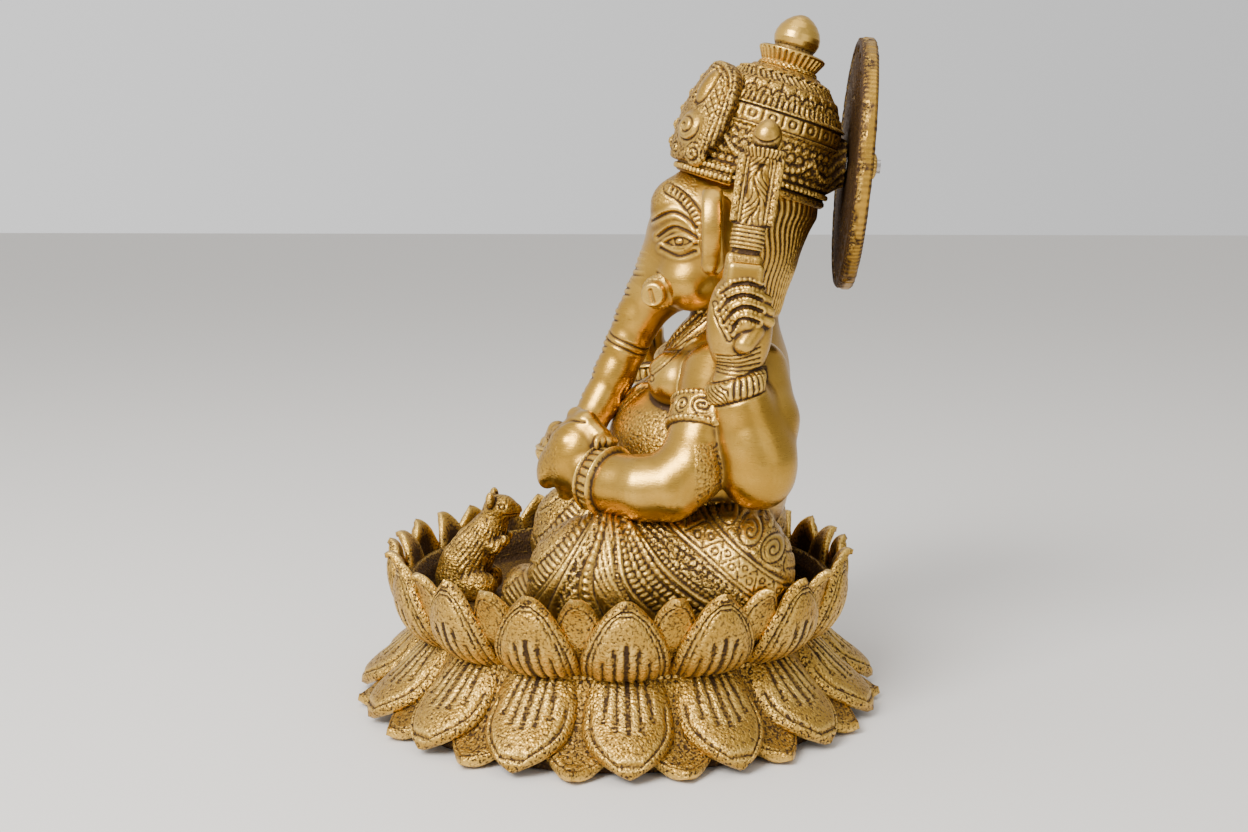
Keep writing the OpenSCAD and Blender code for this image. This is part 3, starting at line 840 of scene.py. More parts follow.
def trunk(p):
    return limb(p, [(0, 20, 160, 13.5), (0, 13, 151, 10), (0, 7.6, 142.5, 8.4), (0.2, 3.2, 132.5, 7.9),
                    (1.2, -1.4, 121.5, 7.5), (3.6, -6.2, 111.5, 7), (7.5, -10.3, 104.5, 6.3),
                    (14, -13.3, 100.5, 5.4)], 2.5)

print("the crown's rim leans", np.degrees(RIM_LEAN).round(), "degrees")

# %% [markdown]
# ## Hips and folded legs
# The legs are folded one before the other and fill the ring of petals. Both thighs share the
# swelling of the hip, and the shins cross low in front. They are cut flat where they sit on
# the deck.

# %% Lap as a function
HIP = ((42, 44, 58), (23, 21, 22))

def lap(p):
    q = other_side(p)
    left_leg = limb(p, [(26, 40, 55, 24.5), (39, 22, 55.5, 23), (46, 2, 56, 22.5), (46, -8, 55.5, 20.5)], 5)
    left_leg = join(left_leg, egg(p, *HIP), 6)
    right_leg = limb(q, [(26, 40, 56, 24.5), (40, 18, 54.5, 22.5), (45, -20, 52, 18.5)], 5)
    right_leg = join(right_leg, egg(q, *HIP), 6)
    front_shin = limb(p, [(42, -16, 46, 14), (30, -30, 43, 10), (12, -34, 41.5, 8), (0, -33, 40.5, 7)], 3)
    rear_shin = limb(p, [(-38, -26, 47, 13), (-20, -22, 46, 10), (2, -16, 45, 9), (8, -17, 44, 7)], 3)
    whole = join(join(left_leg, right_leg, 3), join(front_shin, rear_shin, 1.5), 2)
    whole = join(whole, egg(p, (0, 14, 46), (36, 34, 16)), 3)
    return inside_both(whole, 33.6 - p[..., 2], 0.8)

print("from the middle of a thigh to its skin:", lap(np.array([[45.0, 0, 55]])).round(1), "mm")

# %% [markdown]
# ## The fan of the dhoti
# The figure wears a dhoti, a cloth wound round each thigh. The chaser fanned its printed bands
# out from the hip, so the marks use one fan coordinate: where a ray from the hip's top would
# cross the level of the deck. Lines, ribs, beads and ladders are then lists of places on it.

# %% Dhoti: the fan of bands
HIP_TOP, DECK = 86, 34
SEAMS = ((-46.0, 0.6), (-34.0, 0.6), (-24.5, 0.6), (-22.8, 0.4), (-18.5, 0.7), (-8.6, 0.5), (-2.2, 0.5),
         (8.4, 0.5), (10.4, 0.5), (13.4, 0.6), (18.0, 0.5), (21.2, 0.5), (26.2, 0.6), (30.4, 0.5),
         (34.6, 0.7), (38.5, 0.5), (45.0, 0.6), (47.0, 0.4), (53.0, 0.6), (62.0, 0.6), (66.0, 0.4))
RIBS = ((-16.8, 0.7), (11.9, 0.5), (32.4, 0.6))
LADDERS = ((-33.4, -25.2, 2.3), (8.6, 10.2, 1.5), (13.8, 17.6, 2.1), (21.5, 25.9, 2.1),
           (35.2, 38.2, 1.8), (47.6, 52.6, 2.4))
BEADED = (-5.4, 28.3)
ZIGZAGS = ((41.8, 39, 44.6), (57.5, 53.6, 61.6))
CURVED = (5.0, 11.0, 17.0, 23.0, 29.0)

def fan_marks(fan, ray, scale):
    cut = 0 * fan
    for at, width in SEAMS:
        cut = cut + line((fan - at) * scale, width, 0.7)
    for at, high in RIBS:
        cut = cut + raised((fan - at) * scale, 0.9, high)
    for at in BEADED:
        cut = cut + bead_row(ray, (fan - at) * scale, 2.5, 1.15, 0.8)
    for low, high, pitch in LADDERS:
        cut = cut + ticks(ray, pitch, 0.42, 0.7) * within(fan, low, high)
    cut = cut + ticks(ray + 0.5 * (fan - 19.6) * scale, 3.2, 0.5, 0.7) * within(fan, 18.2, 21)
    zigzag = np.abs(near(ray, 5.0)) * 1.3
    for at, low, high in ZIGZAGS:
        cut = cut + line((fan - at) * scale - zigzag + 1.6, 0.5, 0.7) * within(fan, low, high)
    flame = near(ray * 0.9 + 1.8 * np.sin(fan * 1.1), 4.2)
    cut = cut + line(flame, 0.55, 0.8) * within(fan, -15.6, -9.2)
    cut = cut + line(near(ray - 2.2 * (fan + 12) * scale, 4.2), 0.4, 0.6) * within(fan, -15.4, -9.4)
    for bend in CURVED:
        stroke = (fan - 3.2) * scale * 1.6 - (ray - bend - 6) * 0.55
        cut = cut + line(stroke, 0.5, 0.55) * within(fan, -1.6, 8.0)
    return cut

print("the fan has", len(SEAMS), "seams and", len(LADDERS), "ladders")

# %% [markdown]
# ## The border over the hip
# A border crosses the fan over the hip, with a wave, rings in its bends and a line along each
# side. Scrolls fill what lies beyond it. Seen from the front and the back the fan would be
# stretched to nothing, so a plain weave and grain takes over there.

# %% Dhoti: border, scrolls and legs
def border_marks(over, along):
    """Marks by the height over the border's lower edge and the distance along it."""
    cut = line(over - 0.6, 0.5, 0.8) + line(over - 2.2, 0.4, 0.6)
    cut = cut + line(over - 9.8, 0.4, 0.6) + line(over - 11.4, 0.5, 0.8)
    bend = near(along, 7.5)
    wave = np.abs(over - 6 - 0.95 * (np.abs(bend) * 1.9 - 3.4))
    inner = line(wave, 0.45, 0.7) + ring(near(along + 3.75, 7.5), over - 4.9, 1.1) + ring(bend, over - 7.4, 0.9)
    cut = cut + inner * within(over, 2.8, 9.2)
    beyond = within(over, 12.2, 60)
    a, b = near(along + 3.0, 10.0), near(over - 17.4, 9.6)
    cut = cut + beyond * (scroll(a, b, 3.9, 2.1) + ring(a, b, 4.3, 0.45, 0.7))
    cut = cut + beyond * bead_row(near(along + 8.0, 10.0), near(over - 12.6, 9.6), 30, 1.2, 0.7)
    return cut, beyond * ramp(np.hypot(a, b), 4.2, 4.8)

def dhoti_marks(p, out):
    x, y, z = np.abs(p[:, 0]), p[:, 1], p[:, 2]
    down = np.maximum(HIP_TOP - z, 6)
    fan = (y + 0.6) * DECK / down - 0.6
    fan = fan + 2.6 * np.sin((z - 52) * 0.16) * ramp(fan, -22, -10)
    over = (y - 25) * 0.62 + (z - 72) * 0.78
    along = (y - 25) * 0.78 - (z - 72) * 0.62
    thigh = ramp(x, 14, 22) * ramp(z, 36, 38)
    cut = fan_marks(fan, np.hypot(y + 0.6, down), down / DECK) * thigh * ramp(-over, -0.2, 0.6)
    border, between_scrolls = border_marks(over, along)
    cut = cut + border * thigh * ramp(over, -0.4, 0.3)
    below = ramp(-over, 0, 0.5)
    matt = np.maximum(within(fan, -200, -34.5) * below, within(fan, 38.8, 200) * below)
    matt = np.maximum(matt, between_scrolls)
    matt = np.maximum(matt, within(fan, -15.4, -9.2) * 0.6 * below)
    matt = np.maximum(matt, ramp(-x, -18, -14))
    facing = ramp(np.abs(out[:, 1]), 0.78, 0.92)
    weave = 0.5 * line(near(z - 0.25 * x, 6.0), 0.6, 1.0) + grains(x, z, 1.3, 0.25)
    cut = cut + grains(y, z + 0.3 * x, 1.3, 0.3) * matt * ramp(z, 35, 38)
    cut = np.clip(cut * (1 - facing) + weave * facing, -0.9, 1.0)
    return cut, np.maximum(0.35 + 0.65 * matt, 0.9 * facing)

cast_part("legs", lap, [torso], (-70, -46, 32), (70, 68, 86), ["lap"], dhoti_marks, cast_brass,
          step=1.25, soft=3)

# %% [markdown]
# ## Trunk of the body
# The chest and the round belly are bare and smooth, with a broad necklace on the chest, a
# matted shade under the breasts and a thread over the shoulder. The upper body is one casting.

# %% Torso
THREAD = [(20, 136), (8, 118), (-14, 98), (-30, 84)]

def chest_marks(p, out):
    x, y, z = p.T
    fall = 0.75 * (z - 124.5 + 0.45 * np.maximum(20 - np.abs(x), 0)) - 0.66 * (y - 12.1)
    across = np.abs(x) + 0.5 * y + 0.5 * z
    front = ramp(-y, -46, -40) * ramp(z, 104, 108)
    necklace = 0.9 * within(fall, 0, 7.5) - 0.4 * within(fall, -1.6, -1.1, 0.3)
    necklace = necklace + line(fall - 0.1, 0.4, 0.7) + line(fall - 1.7, 0.35, 0.6) + line(fall - 5.2, 0.35, 0.5)
    necklace = necklace + bead_row(across, fall - 6.4, 1.8, 0.85, 0.7)
    necklace = necklace + within(fall, 2.0, 5.0) * grains(across, fall, 1.5, 0.7)
    nipple = np.hypot(y - 13.2, z - 123) * (np.abs(x) > 10)
    cut = front * necklace + line(nipple - 1.1, 0.35, 0.5) * (nipple > 0)
    under = ramp(-z, -113, -110) * ramp(-y, -34, -28)
    navel = np.hypot(x, z - 93)
    cut = cut - raised(navel, 2.4, 2.2) * (y < 20) + grains(x + 0.4 * y, z, 1.4, 0.3) * under
    thread, _ = path_distance(x, z, THREAD)
    cut = cut + (y < 30) * raised(thread, 1.1, 0.7, 4)
    return cut, np.maximum(0.08, np.maximum(under, 0.7 * front * within(fall, 1.7, 7.5)))

cast_part("body_trunk", torso, [head, front_left, blessing_arm, rear_arm, lap], (-52, -8, 60), (52, 70, 152),
          ["torso"], chest_marks, flesh_brass, step=1.2, soft=2.5)

# %% [markdown]
# ## Bracelets and armlets
# The arms are the smoothest metal on the figure, filed and brushed with long strokes. Each
# front arm wears a bracelet of upright beads between two rings and a chased armlet. Both are
# drawn round an axis through the limb, so that one function fits either arm.

# %% Bracelet and armlet
def round_limb(p, centre, axis, across, r):
    """Distance along a limb's axis, distance round it, and 1 on the limb itself."""
    axis = np.array(axis, float) / lengths(np.array(axis, float))
    along = (p - centre) @ axis
    off = p - centre - along[:, None] * axis
    first = np.cross(axis, across)
    first /= lengths(first)
    around = np.arctan2(off @ np.cross(axis, first), off @ first) * r
    return along, around, ramp(-lengths(off), -r - 6, -r - 4)

def bracelet(p, centre, axis, r):
    along, around, on_limb = round_limb(p, centre, axis, (0.3, 0.1, 1.0), r)
    band = 1.5 * within(along, -3.6, 3.6, 0.5) + raised(np.abs(along) - 3.3, 0.7, 0.9)
    stretch = np.sqrt(np.clip(1 - (along / 2.6) ** 2, 0, 1))
    band = band + stretch * bead_row(around, 0, 2.6, 1.2, 0.9)
    band = band - 0.6 * within(along, -2.6, 2.6, 0.3)
    return band * on_limb, within(along, -3.9, 3.9) * on_limb

def armlet(p, centre, axis, r):
    along, around, on_limb = round_limb(p, centre, axis, (0.0, 1.0, 0.1), r)
    scrolls = scroll(near(around, 7.0), along, 3.4, 1.9, 1, 0.5, 0.8) * within(along, -3.6, 3.6)
    band = 1.0 * within(along, -5.5, 5.5, 0.5) + scrolls
    for edge in (4.5, -4.5):
        band = band + bead_row(around, along - edge, 1.8, 0.85, 0.7)
    return band * on_limb, within(along, -5.6, 5.6) * on_limb

ARMLET = ((43, 33, 111), (-11, 4.5, 17), 11.3)
print("an armlet lies", ARMLET[2], "mm from the bone, with a scroll every 7 mm")

# %% [markdown]
# ## The left hand with the sweets
# The front left arm comes round the belly and its hand closes over the bowl. The thumb's web
# is one cut line and each nail a small arc. A matted strip at the back of the arm marks where
# it leaves the flank.

# %% Front left arm
def front_left_marks(p, out):
    cut, armlet_dots = armlet(p, *ARMLET)
    x, y, z = p.T
    flank = ramp(y, 29.5, 31) * ramp(x, 44, 47) * ramp(-z, -106, -104)
    cut = cut + flank * grains(y, z, 1.2, 0.3)
    beads, bracelet_dots = bracelet(p, (41.8, -2.2, 89.4), (5, 6.6, -1.2), 9.6)
    web, _ = path_distance(y, z, [(-24, 99), (-21, 105), (-15, 109), (-9, 109)])
    cut = cut + beads + line(web, 0.45, 0.5) * (x > 30)
    for k in range(4):
        nail = np.hypot(y + 24.5 - 1.8 * k, z - 99 + 5.2 * k)
        cut = cut + line(nail - 1.6, 0.35, 0.5) * (x < 34)
    crescent = ramp(-y, 17.5, 19) * ramp(z, 88, 90)
    on_hand = 0.05 + 0.6 * np.maximum(bracelet_dots * 0.5, crescent)
    return cut, np.maximum(np.maximum(0.05 + 0.4 * armlet_dots, flank), on_hand)

cast_part("arm_front_left", whole_left, [torso, rear_arm], (14, -32, 72), (66, 54, 142), ["front_left_arm"],
          front_left_marks, flesh_brass, step=0.95, soft=2.0)

# %% [markdown]
# ## The raised right hand
# The right hand is raised with its palm to the front, in blessing, and two rings are cut into
# the palm. The marks are worked out on the other side and so reuse the left arm's places.

# %% Front right arm
def blessing_marks(p, out):
    q = other_side(p)
    beads, bracelet_dots = bracelet(q, (48, 11.6, 117), (0, -1.5, 8), 7.8)
    scrolls, armlet_dots = armlet(q, *ARMLET)
    palm = np.hypot(q[:, 0] - 48, q[:, 2] - 128)
    rings = (q[:, 1] < 9) * (line(palm - 3.2, 0.4, 0.5) + line(palm - 1.2, 0.4, 0.5))
    return beads + scrolls + rings, 0.05 + 0.4 * np.maximum(bracelet_dots, armlet_dots)

cast_part("arm_front_right", blessing_arm, [torso, rear_arm], (-66, 0, 76), (-14, 56, 150),
          ["front_right_arm"], blessing_marks, flesh_brass, step=0.95, soft=2.0)

# %% [markdown]
# ## Cords round the rear fists
# Each rear wrist wears one thick twisted bracelet. Knuckle lines with beads arch over the
# fist, a cord runs down its front edge and fine folds close it below. Like the lids of the
# eye, they are strokes on the side plane.

# %% Rear arms
KNUCKLES = ([(37, 149.4), (41.4, 153.8), (46.6, 155.2), (51.6, 153.4)],
            [(39, 145.8), (42.6, 150), (46.6, 151.4), (51.6, 149.8)],
            [(38, 155.5), (41.6, 158), (46.8, 158.8), (52, 157.4)],
            [(41.6, 142.6), (43.8, 146.6), (47, 147.4), (50.6, 146)])

def fist_marks(y, z):
    cut = 0 * z
    for way in KNUCKLES:
        bend, far = path_distance(y, z, way, 14)
        cut = cut + line(bend, 0.45, 0.8) + bead_row(far, bend - 1.1, 1.5, 0.6, 0.4)
    for k in range(6):
        fold = [(37, 134.5 - 1.1 * k), (44, 134.8 - 1.3 * k), (51.5, 137.6 - 1.9 * k)]
        bend, _ = path_distance(y, z, fold, 10)
        cut = cut + line(bend, 0.32, 0.45)
    cord, _ = path_distance(y, z, [(36, 151.9), (37.6, 146.6), (41, 140.4)], 12)
    return cut + line(cord - 0.9, 0.35, 0.6)

def rear_marks(p, out):
    x, y, z = both_sides(p).T
    along = (z - 123.7) * 0.95 - (y - 44) * 0.3
    around = np.arctan2(x - 50, -(y - 44)) * 10
    wrist = ramp(-y, -54, -51.5)
    rope = 2.1 * np.sqrt(np.clip(1 - (along / 3.6) ** 2, 0, 1))
    twist = ticks(around + 1.3 * along * ramp(-around, -14, -11), 2.1, 0.45, 0.8)
    rope = rope + twist * within(along, -3.2, 3.2) + line(np.abs(along) - 3.8, 0.45, 0.6)
    matt = np.maximum(wrist * within(along, -3.8, 3.8), within(z, 131, 139) * (x > 52) * 0.6)
    return wrist * rope + fist_marks(y, z) * (x > 50), 0.05 + 0.3 * matt

cast_pair("arm_rear_", rear_arm, lambda side: [torso, whole_left if side > 0 else blessing_arm],
          (14, 30, 78), (68, 70, 168), "rear_{}_arm", rear_marks, flesh_brass, middle=8, step=0.95, soft=2.0)

# %% [markdown]
# ## Elephant head
# The broad forehead, the almond eye under a long brow and the heavy cheek were modelled in wax,
# and only the lids, brow and hair were cut afterwards. Eye and brow are drawn on the side of
# the face as strokes on a flat plane and pressed straight in. The hair falls in strands from
# under the crown to the nape.

# %% Head
LIDS = (([(16.4, 170.3), (19, 172.3), (23, 173.8), (26.4, 173.1), (29, 171.4)], 0.7, 0.7),
        ([(16.8, 170.3), (19.6, 168.9), (23, 168.2), (26.4, 169.3), (29, 171.4)], 0.6, 0.6))
CREASES = (([(15.1, 172.8), (20.6, 176.2), (25, 175.4), (29.6, 172.8)], 0.5, 0.8),
           ([(16.5, 168.6), (23, 166.2), (29, 168)], 0.45, 0.35),
           ([(12.6, 178.2), (19.8, 181.4), (25, 180), (31, 175)], 0.6, 0.8))

def eye_marks(y, z):
    """The ball of the eye, its lids, the creases round it and the iris, on the side plane."""
    t = np.clip((y - 17.4) / 11.2, 0, 1)
    lid = 170.5 + 0.9 * t + 2.4 * np.sin(np.pi * t) ** 0.8
    rim = 170.5 + 0.9 * t - 1.8 * np.sin(np.pi * t) ** 0.9
    inside = np.clip(np.minimum(lid - z, z - rim), -3, 3) * (t > 0) * (t < 1)
    ball = np.clip(1 - ((y - 23.0) / 5.2) ** 2 - ((z - 171.2) / 2.4) ** 2, 0, 1)
    cut = 0.9 * np.sqrt(ball) - 0.7 * ramp(inside, 0, 0.6)
    for way, width, high in LIDS:
        away, _ = path_distance(y, z, way)
        cut = cut + raised(away, width, high)
    for way, width, deep in CREASES:
        away, _ = path_distance(y, z, way)
        cut = cut - raised(away, width, deep) + raised(away - 1.3, 0.8, 0.35)
    iris = np.hypot(y - 22.8, z - 171.3)
    return cut + line(iris - 1.5, 0.35, 0.5) + 0.3 * (iris < 0.7)

def head_marks(p, out):
    x, y, z = np.abs(p[:, 0]), p[:, 1], p[:, 2]
    face = ramp(x, 8, 12)
    rope, along = path_distance(y, z, [(19, 190), (24.4, 186.5), (29, 180.5), (31.2, 174)])
    band = raised(rope, 1.6, 1.0, 4) * ramp(-y, -36, -33)
    cut = face * eye_marks(y, z) + band * (0.8 + 1.2 * ticks(along, 1.8, 0.45, 0.6))
    cut = cut + line(rope - 2.0, 0.4, 0.5) * ramp(-y, -34, -32)
    cap = ramp(z + 0.25 * x - 0.25 * y, 184, 185) * ramp(-y, -30, -28)
    hair = ramp(y, 41, 43) * ramp(z, 143, 146)
    strand = np.arctan2(x, y - 42) * 20 + 0.5 * np.sin(z * 0.35)
    strands = 0.75 * np.abs(np.sin(np.pi * strand / 1.9)) ** 0.7 - 0.5
    cut = cut * (1 - hair) + hair * strands
    wrinkle, _ = path_distance(y, z, [(15, 160), (19, 156), (20, 151)], 12)
    cut = cut + face * line(wrinkle, 0.6, 0.4) + cap * grains(x, y + z, 1.2, 0.3)
    return cut, np.clip(0.05 + 0.6 * cap + 0.3 * hair + 0.3 * band, 0, 1)

cast_part("elephant_head", head, [trunk, torso], (-34, 4, 140), (34, 76, 202), ["head"], head_marks,
          flesh_brass, step=0.85, soft=3.5)

# %% [markdown]
# ## The trunk
# The trunk is smooth at the sides and notched down its front ridge, like the rings of a real
# one, with a pair of cords across its middle. The notches fade by the way the skin faces, so
# they need no drawing of their own.

# %% Trunk
def trunk_marks(p, out):
    x, y, z = p.T
    front = -out[:, 1] * 0.9 - out[:, 2] * 0.3
    edge = ramp(front, 0.55, 0.75)
    cut = 0.8 * edge * (ticks(z, 2.4, 0.5, 0.8) + 0.25)
    for high in (134.5, 131.8):
        cut = cut + line(z - high + 0.45 * (y - 5) + 1.5 * np.sin(x * 0.2), 0.6, 0.7)
    for high in (116, 113, 110):
        cut = cut + line(z - high + 0.6 * (y + 2), 0.5, 0.35) * edge
    return cut, 0.05 + 0.3 * edge

cast_part("elephant_trunk", trunk, [head, left_hand], (-18, -22, 90), (24, 38, 172), ["trunk"],
          trunk_marks, flesh_brass, step=0.85, soft=3.5)

# %% [markdown]
# ## Ears
# The ears are thick smooth flaps that stand out sideways. An egg cut between two flat faces
# gives the flap, and one pattern serves both sides.

# %% Ears
def ear(p):
    q = both_sides(p)
    faces = np.abs(q[..., 1] - 35 - 0.02 * (176 - q[..., 2])) - 3.7
    flap = inside_both(egg(q, (33, 35, 176), (9, 9.5, 14.5)), faces, 1.4)
    flap = join(flap, limb(q, [(32, 35.5, 168, 4), (36, 35, 163.5, 3.6)]), 2)
    return join(flap, egg(q, (25, 37, 175), (6, 6, 13)), 3)

def ear_marks(p, out):
    inner = np.hypot((np.abs(p[:, 0]) - 33) / 6.4, (p[:, 2] - 176) / 11)
    return (p[:, 1] < 33) * line((inner - 1) * 7, 0.5, 0.5), 0.05

cast_pair("ear_flap_", ear, lambda side: [head], (18, 24, 156), (46, 46, 194), "ear_{}", ear_marks,
          flesh_brass, middle=14, step=0.8, soft=1.5)

# %% [markdown]
# ## Tusks
# Both tusks are short blunt stubs with a notched end in a matted collar, as on most small
# castings. Hands and cloths touch them often, so they are the rubbed brass.

# %% Tusks
def tusk(p):
    q = both_sides(p)
    blunt_end = (q[..., 0] - 22.8) - 0.3 * (q[..., 1] - 14)
    stub = inside_both(limb(q, [(8, 18, 154.5, 4.5), (26, 12.5, 151.8, 4.3)], 1), blunt_end, 1.2)
    return join(stub, egg(q, (16.5, 15.6, 153), (3.2, 6.2, 6.2), turn(z=-16)), 0.8)

def tusk_marks(p, out):
    x, y, z = np.abs(p[:, 0]), p[:, 1], p[:, 2]
    on_end = ramp(-np.hypot(y - 13.6, z - 152), -3, -2.4) * ramp(x, 21, 21.6)
    notch = raised(y - 13.4 + 0.3 * (z - 152), 0.8, 0.9) * on_end
    collar = ramp(-x, -19.4, -18.6)
    return collar * grains(y, z, 1.2, 0.5) - notch, 0.15 + 0.8 * collar

cast_pair("tusk_stub_", tusk, lambda side: [head], (8, 5, 145), (30, 28, 164), "tusk_{}", tusk_marks,
          rubbed_brass, middle=6, step=0.6, soft=1.2, slot="rubbed_brass")

# %% [markdown]
# ## The crown
# The tall crown is turned work: a plain stack of mouldings with chased tiers between them. So
# its skin is a grid of angle and height, and every band is a mark on the unrolled cylinder.
# It leans back with the head. The cone behind carries the halo, and it is painted dark as the shade behind the
# crown.

# %% Turned pieces
crown_at = np.array([0, 48.5, 191.0])
crown_lean = turn(x=-17)
halo_at = np.array([0, 82.4, 198.5])
lean = np.radians(4.2)
halo_way = np.array([[1, 0, 0], [0, -np.sin(lean), -np.cos(lean)], [0, np.cos(lean), -np.sin(lean)]]).T

def turned(profile, marks, turns=360, fine=0.7):
    """A turned shape, its quads, dots, and wax and painted shade. Marks go by angle, distance along and place."""
    points, quads = lathe(profile, turns, fine)
    at, _, _ = along_profile(profile, fine)
    angle = np.tile(np.linspace(0, 2 * np.pi, turns, endpoint=False), len(at))
    relief, dots, deep = marks(angle, np.repeat(at, turns), points)
    pressed = points + outward(points, quads) * np.broadcast_to(relief, len(points))[:, None]
    return pressed, quads, np.broadcast_to(dots, len(points)), np.broadcast_to(deep, len(points))

def put(mesh, way, at):
    """A turned shape set down at its place on the figure."""
    return (mesh[0] @ way.T + at,) + mesh[1:]

def share(r, count):
    """The pitch that fits so many marks round a radius."""
    return 2 * np.pi * r / count

print("the crown's foot is", crown_at[2], "mm up, and the halo's middle", halo_at[2])

# %% [markdown]
# ## Tiers of the crown
# From the rim up come beads, scales under hanging swags, a plain band of rings, and rows of
# leaves and ticks. The cone behind is turned too, on the halo's own axis.

# %% Crown
crown_profile = [(12, -1), (26.6, -1), (27.6, 0.2), (27.4, 1.4), (26.6, 2.2), (27.2, 3.2), (26.7, 4.6), (27.2, 8),
                 (27.2, 16), (26.9, 19), (27.5, 19.8), (27.2, 20.6), (26.7, 21), (26.2, 26), (26.9, 26.6),
                 (26.5, 27.4), (25.2, 28), (24.2, 30.6), (23.4, 31.2), (23.2, 32), (21.3, 35.6), (20.2, 36.2),
                 (19.6, 36.8), (17.6, 39.2), (17.2, 39.4), (17, 40.2), (15.4, 40.8), (13.2, 41.4), (12.6, 42.2),
                 (0.2, 42.4)]

def crown_marks(angle, along, points):
    h, r = points[:, 2], lengths(points[:, :2])
    round_it = angle * 27
    side = (r > 14) * (h > -0.6)
    cut = 1.0 * bead_row(angle * 27, h - 3.3, share(27, 84), 0.95, 1.0)
    cut = cut + line(h - 4.9, 0.4, 0.7) + line(h - 1.9, 0.35, 0.6)
    scales = within(h, 5.4, 18.6)
    row = np.floor((h - 5.4) / 3.3)
    step = share(27, 48)
    a, b = near(round_it + (row % 2) * step / 2, step), h - 5.4 - row * 3.3
    eye = np.hypot(a, b - 0.6)
    cut = cut + scales * (line(eye - 1.75, 0.38, 0.7) * (b > 0.2) + 0.4 * (eye < 0.6))
    swag = near(angle * 27 + 6, share(27, 10))
    dip = 8.6 + (swag / 4.2) ** 2 * 1.25
    rope = within(h, 5.6, 18.2) * np.exp(-((h - dip) / 1.15) ** 4)
    cut = cut * (1 - rope) + rope * (0.9 + bead_row(round_it, h - dip, share(27, 84), 0.8, 0.6))
    band = within(h, 21, 26, 0.3)
    cut = cut + band * ring(near(round_it, share(27, 22)), h - 23.6, 1.35, 0.38, 0.8)
    cut = cut + band * line(near(round_it + 3.86, share(27, 22)), 0.42, 0.8) * within(h, 21.8, 25.4)
    cut = cut + line(h - 20.9, 0.35, 0.8) + line(h - 26.2, 0.35, 0.8)
    cut = cut + within(h, 27.6, 30.8) * ticks(angle * 25, share(25, 74), 0.42, 0.8)
    leaf = near(angle * 22, share(22, 26))
    cut = cut + within(h, 31.4, 36.4) * (line(np.hypot(leaf, h - 31.4) - 2.5, 0.45, 0.8) + line(leaf, 0.4, 0.6))
    cut = cut + within(h, 37, 39.4) * ticks(angle * 19 + h, share(19, 54), 0.42, 0.8)
    cut = cut + within(h, 39.6, 42) * ticks(angle * 13 - 1.2 * h, share(13, 30), 0.5, 0.8)
    plain = within(h, 20.9, 26.2)
    cut = cut + side * (1 - plain) * grains(round_it, h, 1.1, 0.16)
    # Painted shade: the back of the crown, away from the lamps, is darker.
    back = ramp(points[:, 1], 8, 24)
    return cut * side, np.where(plain > 0.5, 0.25, 0.8), 0.25 * back + 0.1

crown_mesh = turned(crown_profile, crown_marks, turns=480, fine=0.6)
crown_mesh = put(crown_mesh, crown_lean, crown_at)
# The cone is painted almost wholly dark, as painted shade behind the crown.
boss = turned([(18.5, -27), (18, -22), (15.5, -14), (12, -7), (9, -2.2), (8.4, -0.4), (3.2, -0.3)],
              lambda angle, along, points: (0.25 * np.sin(angle * 14 + along), 0.6, 0.95), turns=120)
boss = put(boss, halo_way, halo_at)
print("crown:", len(crown_mesh[1]), "faces, and its cone", len(boss[1]))

# %% [markdown]
# ## The crest
# A domed plate with volutes and a row of bosses covers the front of the crown. It is bent round
# the crown, so it is modelled and marked in unrolled coordinates and follows the curve by itself.

# %% Crest of the crown
def rolled(p):
    """Crown coordinates unrolled: distance round from the front, height, and distance out."""
    q = (p - crown_at) @ crown_lean
    return np.arctan2(q[..., 0], -q[..., 1]) * 27, q[..., 2], np.hypot(q[..., 0], q[..., 1])

def crest(p):
    a, h, r = rolled(p)
    side = np.abs(a)
    flat = np.stack([side / 28.5, (h - 20) / 19.0], -1)
    outline = (np.abs(flat) ** 3.2).sum(-1) ** (1 / 3.2)
    outline = (outline - 1) * 16
    dome = 29.4 - 0.0095 * (h - 12) ** 2
    plate = inside_both(outline, np.abs(r - dome) - 3.2, 2.0)
    for k in range(5):
        curl = lengths(np.stack([a * 0.7, h - 7 - 6.3 * k, r - dome - 0.9], -1)) - 3.6 + 0.2 * k
        plate = join(plate, curl, 0.8)
    for at_a, at_h, size in ((15.0, 13.0, 6.2), (20.5, 4.6, 4.4), (9.5, 4.6, 3.4)):
        disc = lengths(np.stack([side - at_a, h - at_h, (r - dome - 1.6) * 1.7], -1)) - size
        plate = join(plate, disc, 0.8)
    leaf = np.stack([(side - 14.5) * 1.15, (h - 29) * 0.62, (r - dome - 1.6) * 1.6], -1)
    return join(plate, lengths(leaf) - 4.8, 0.9)

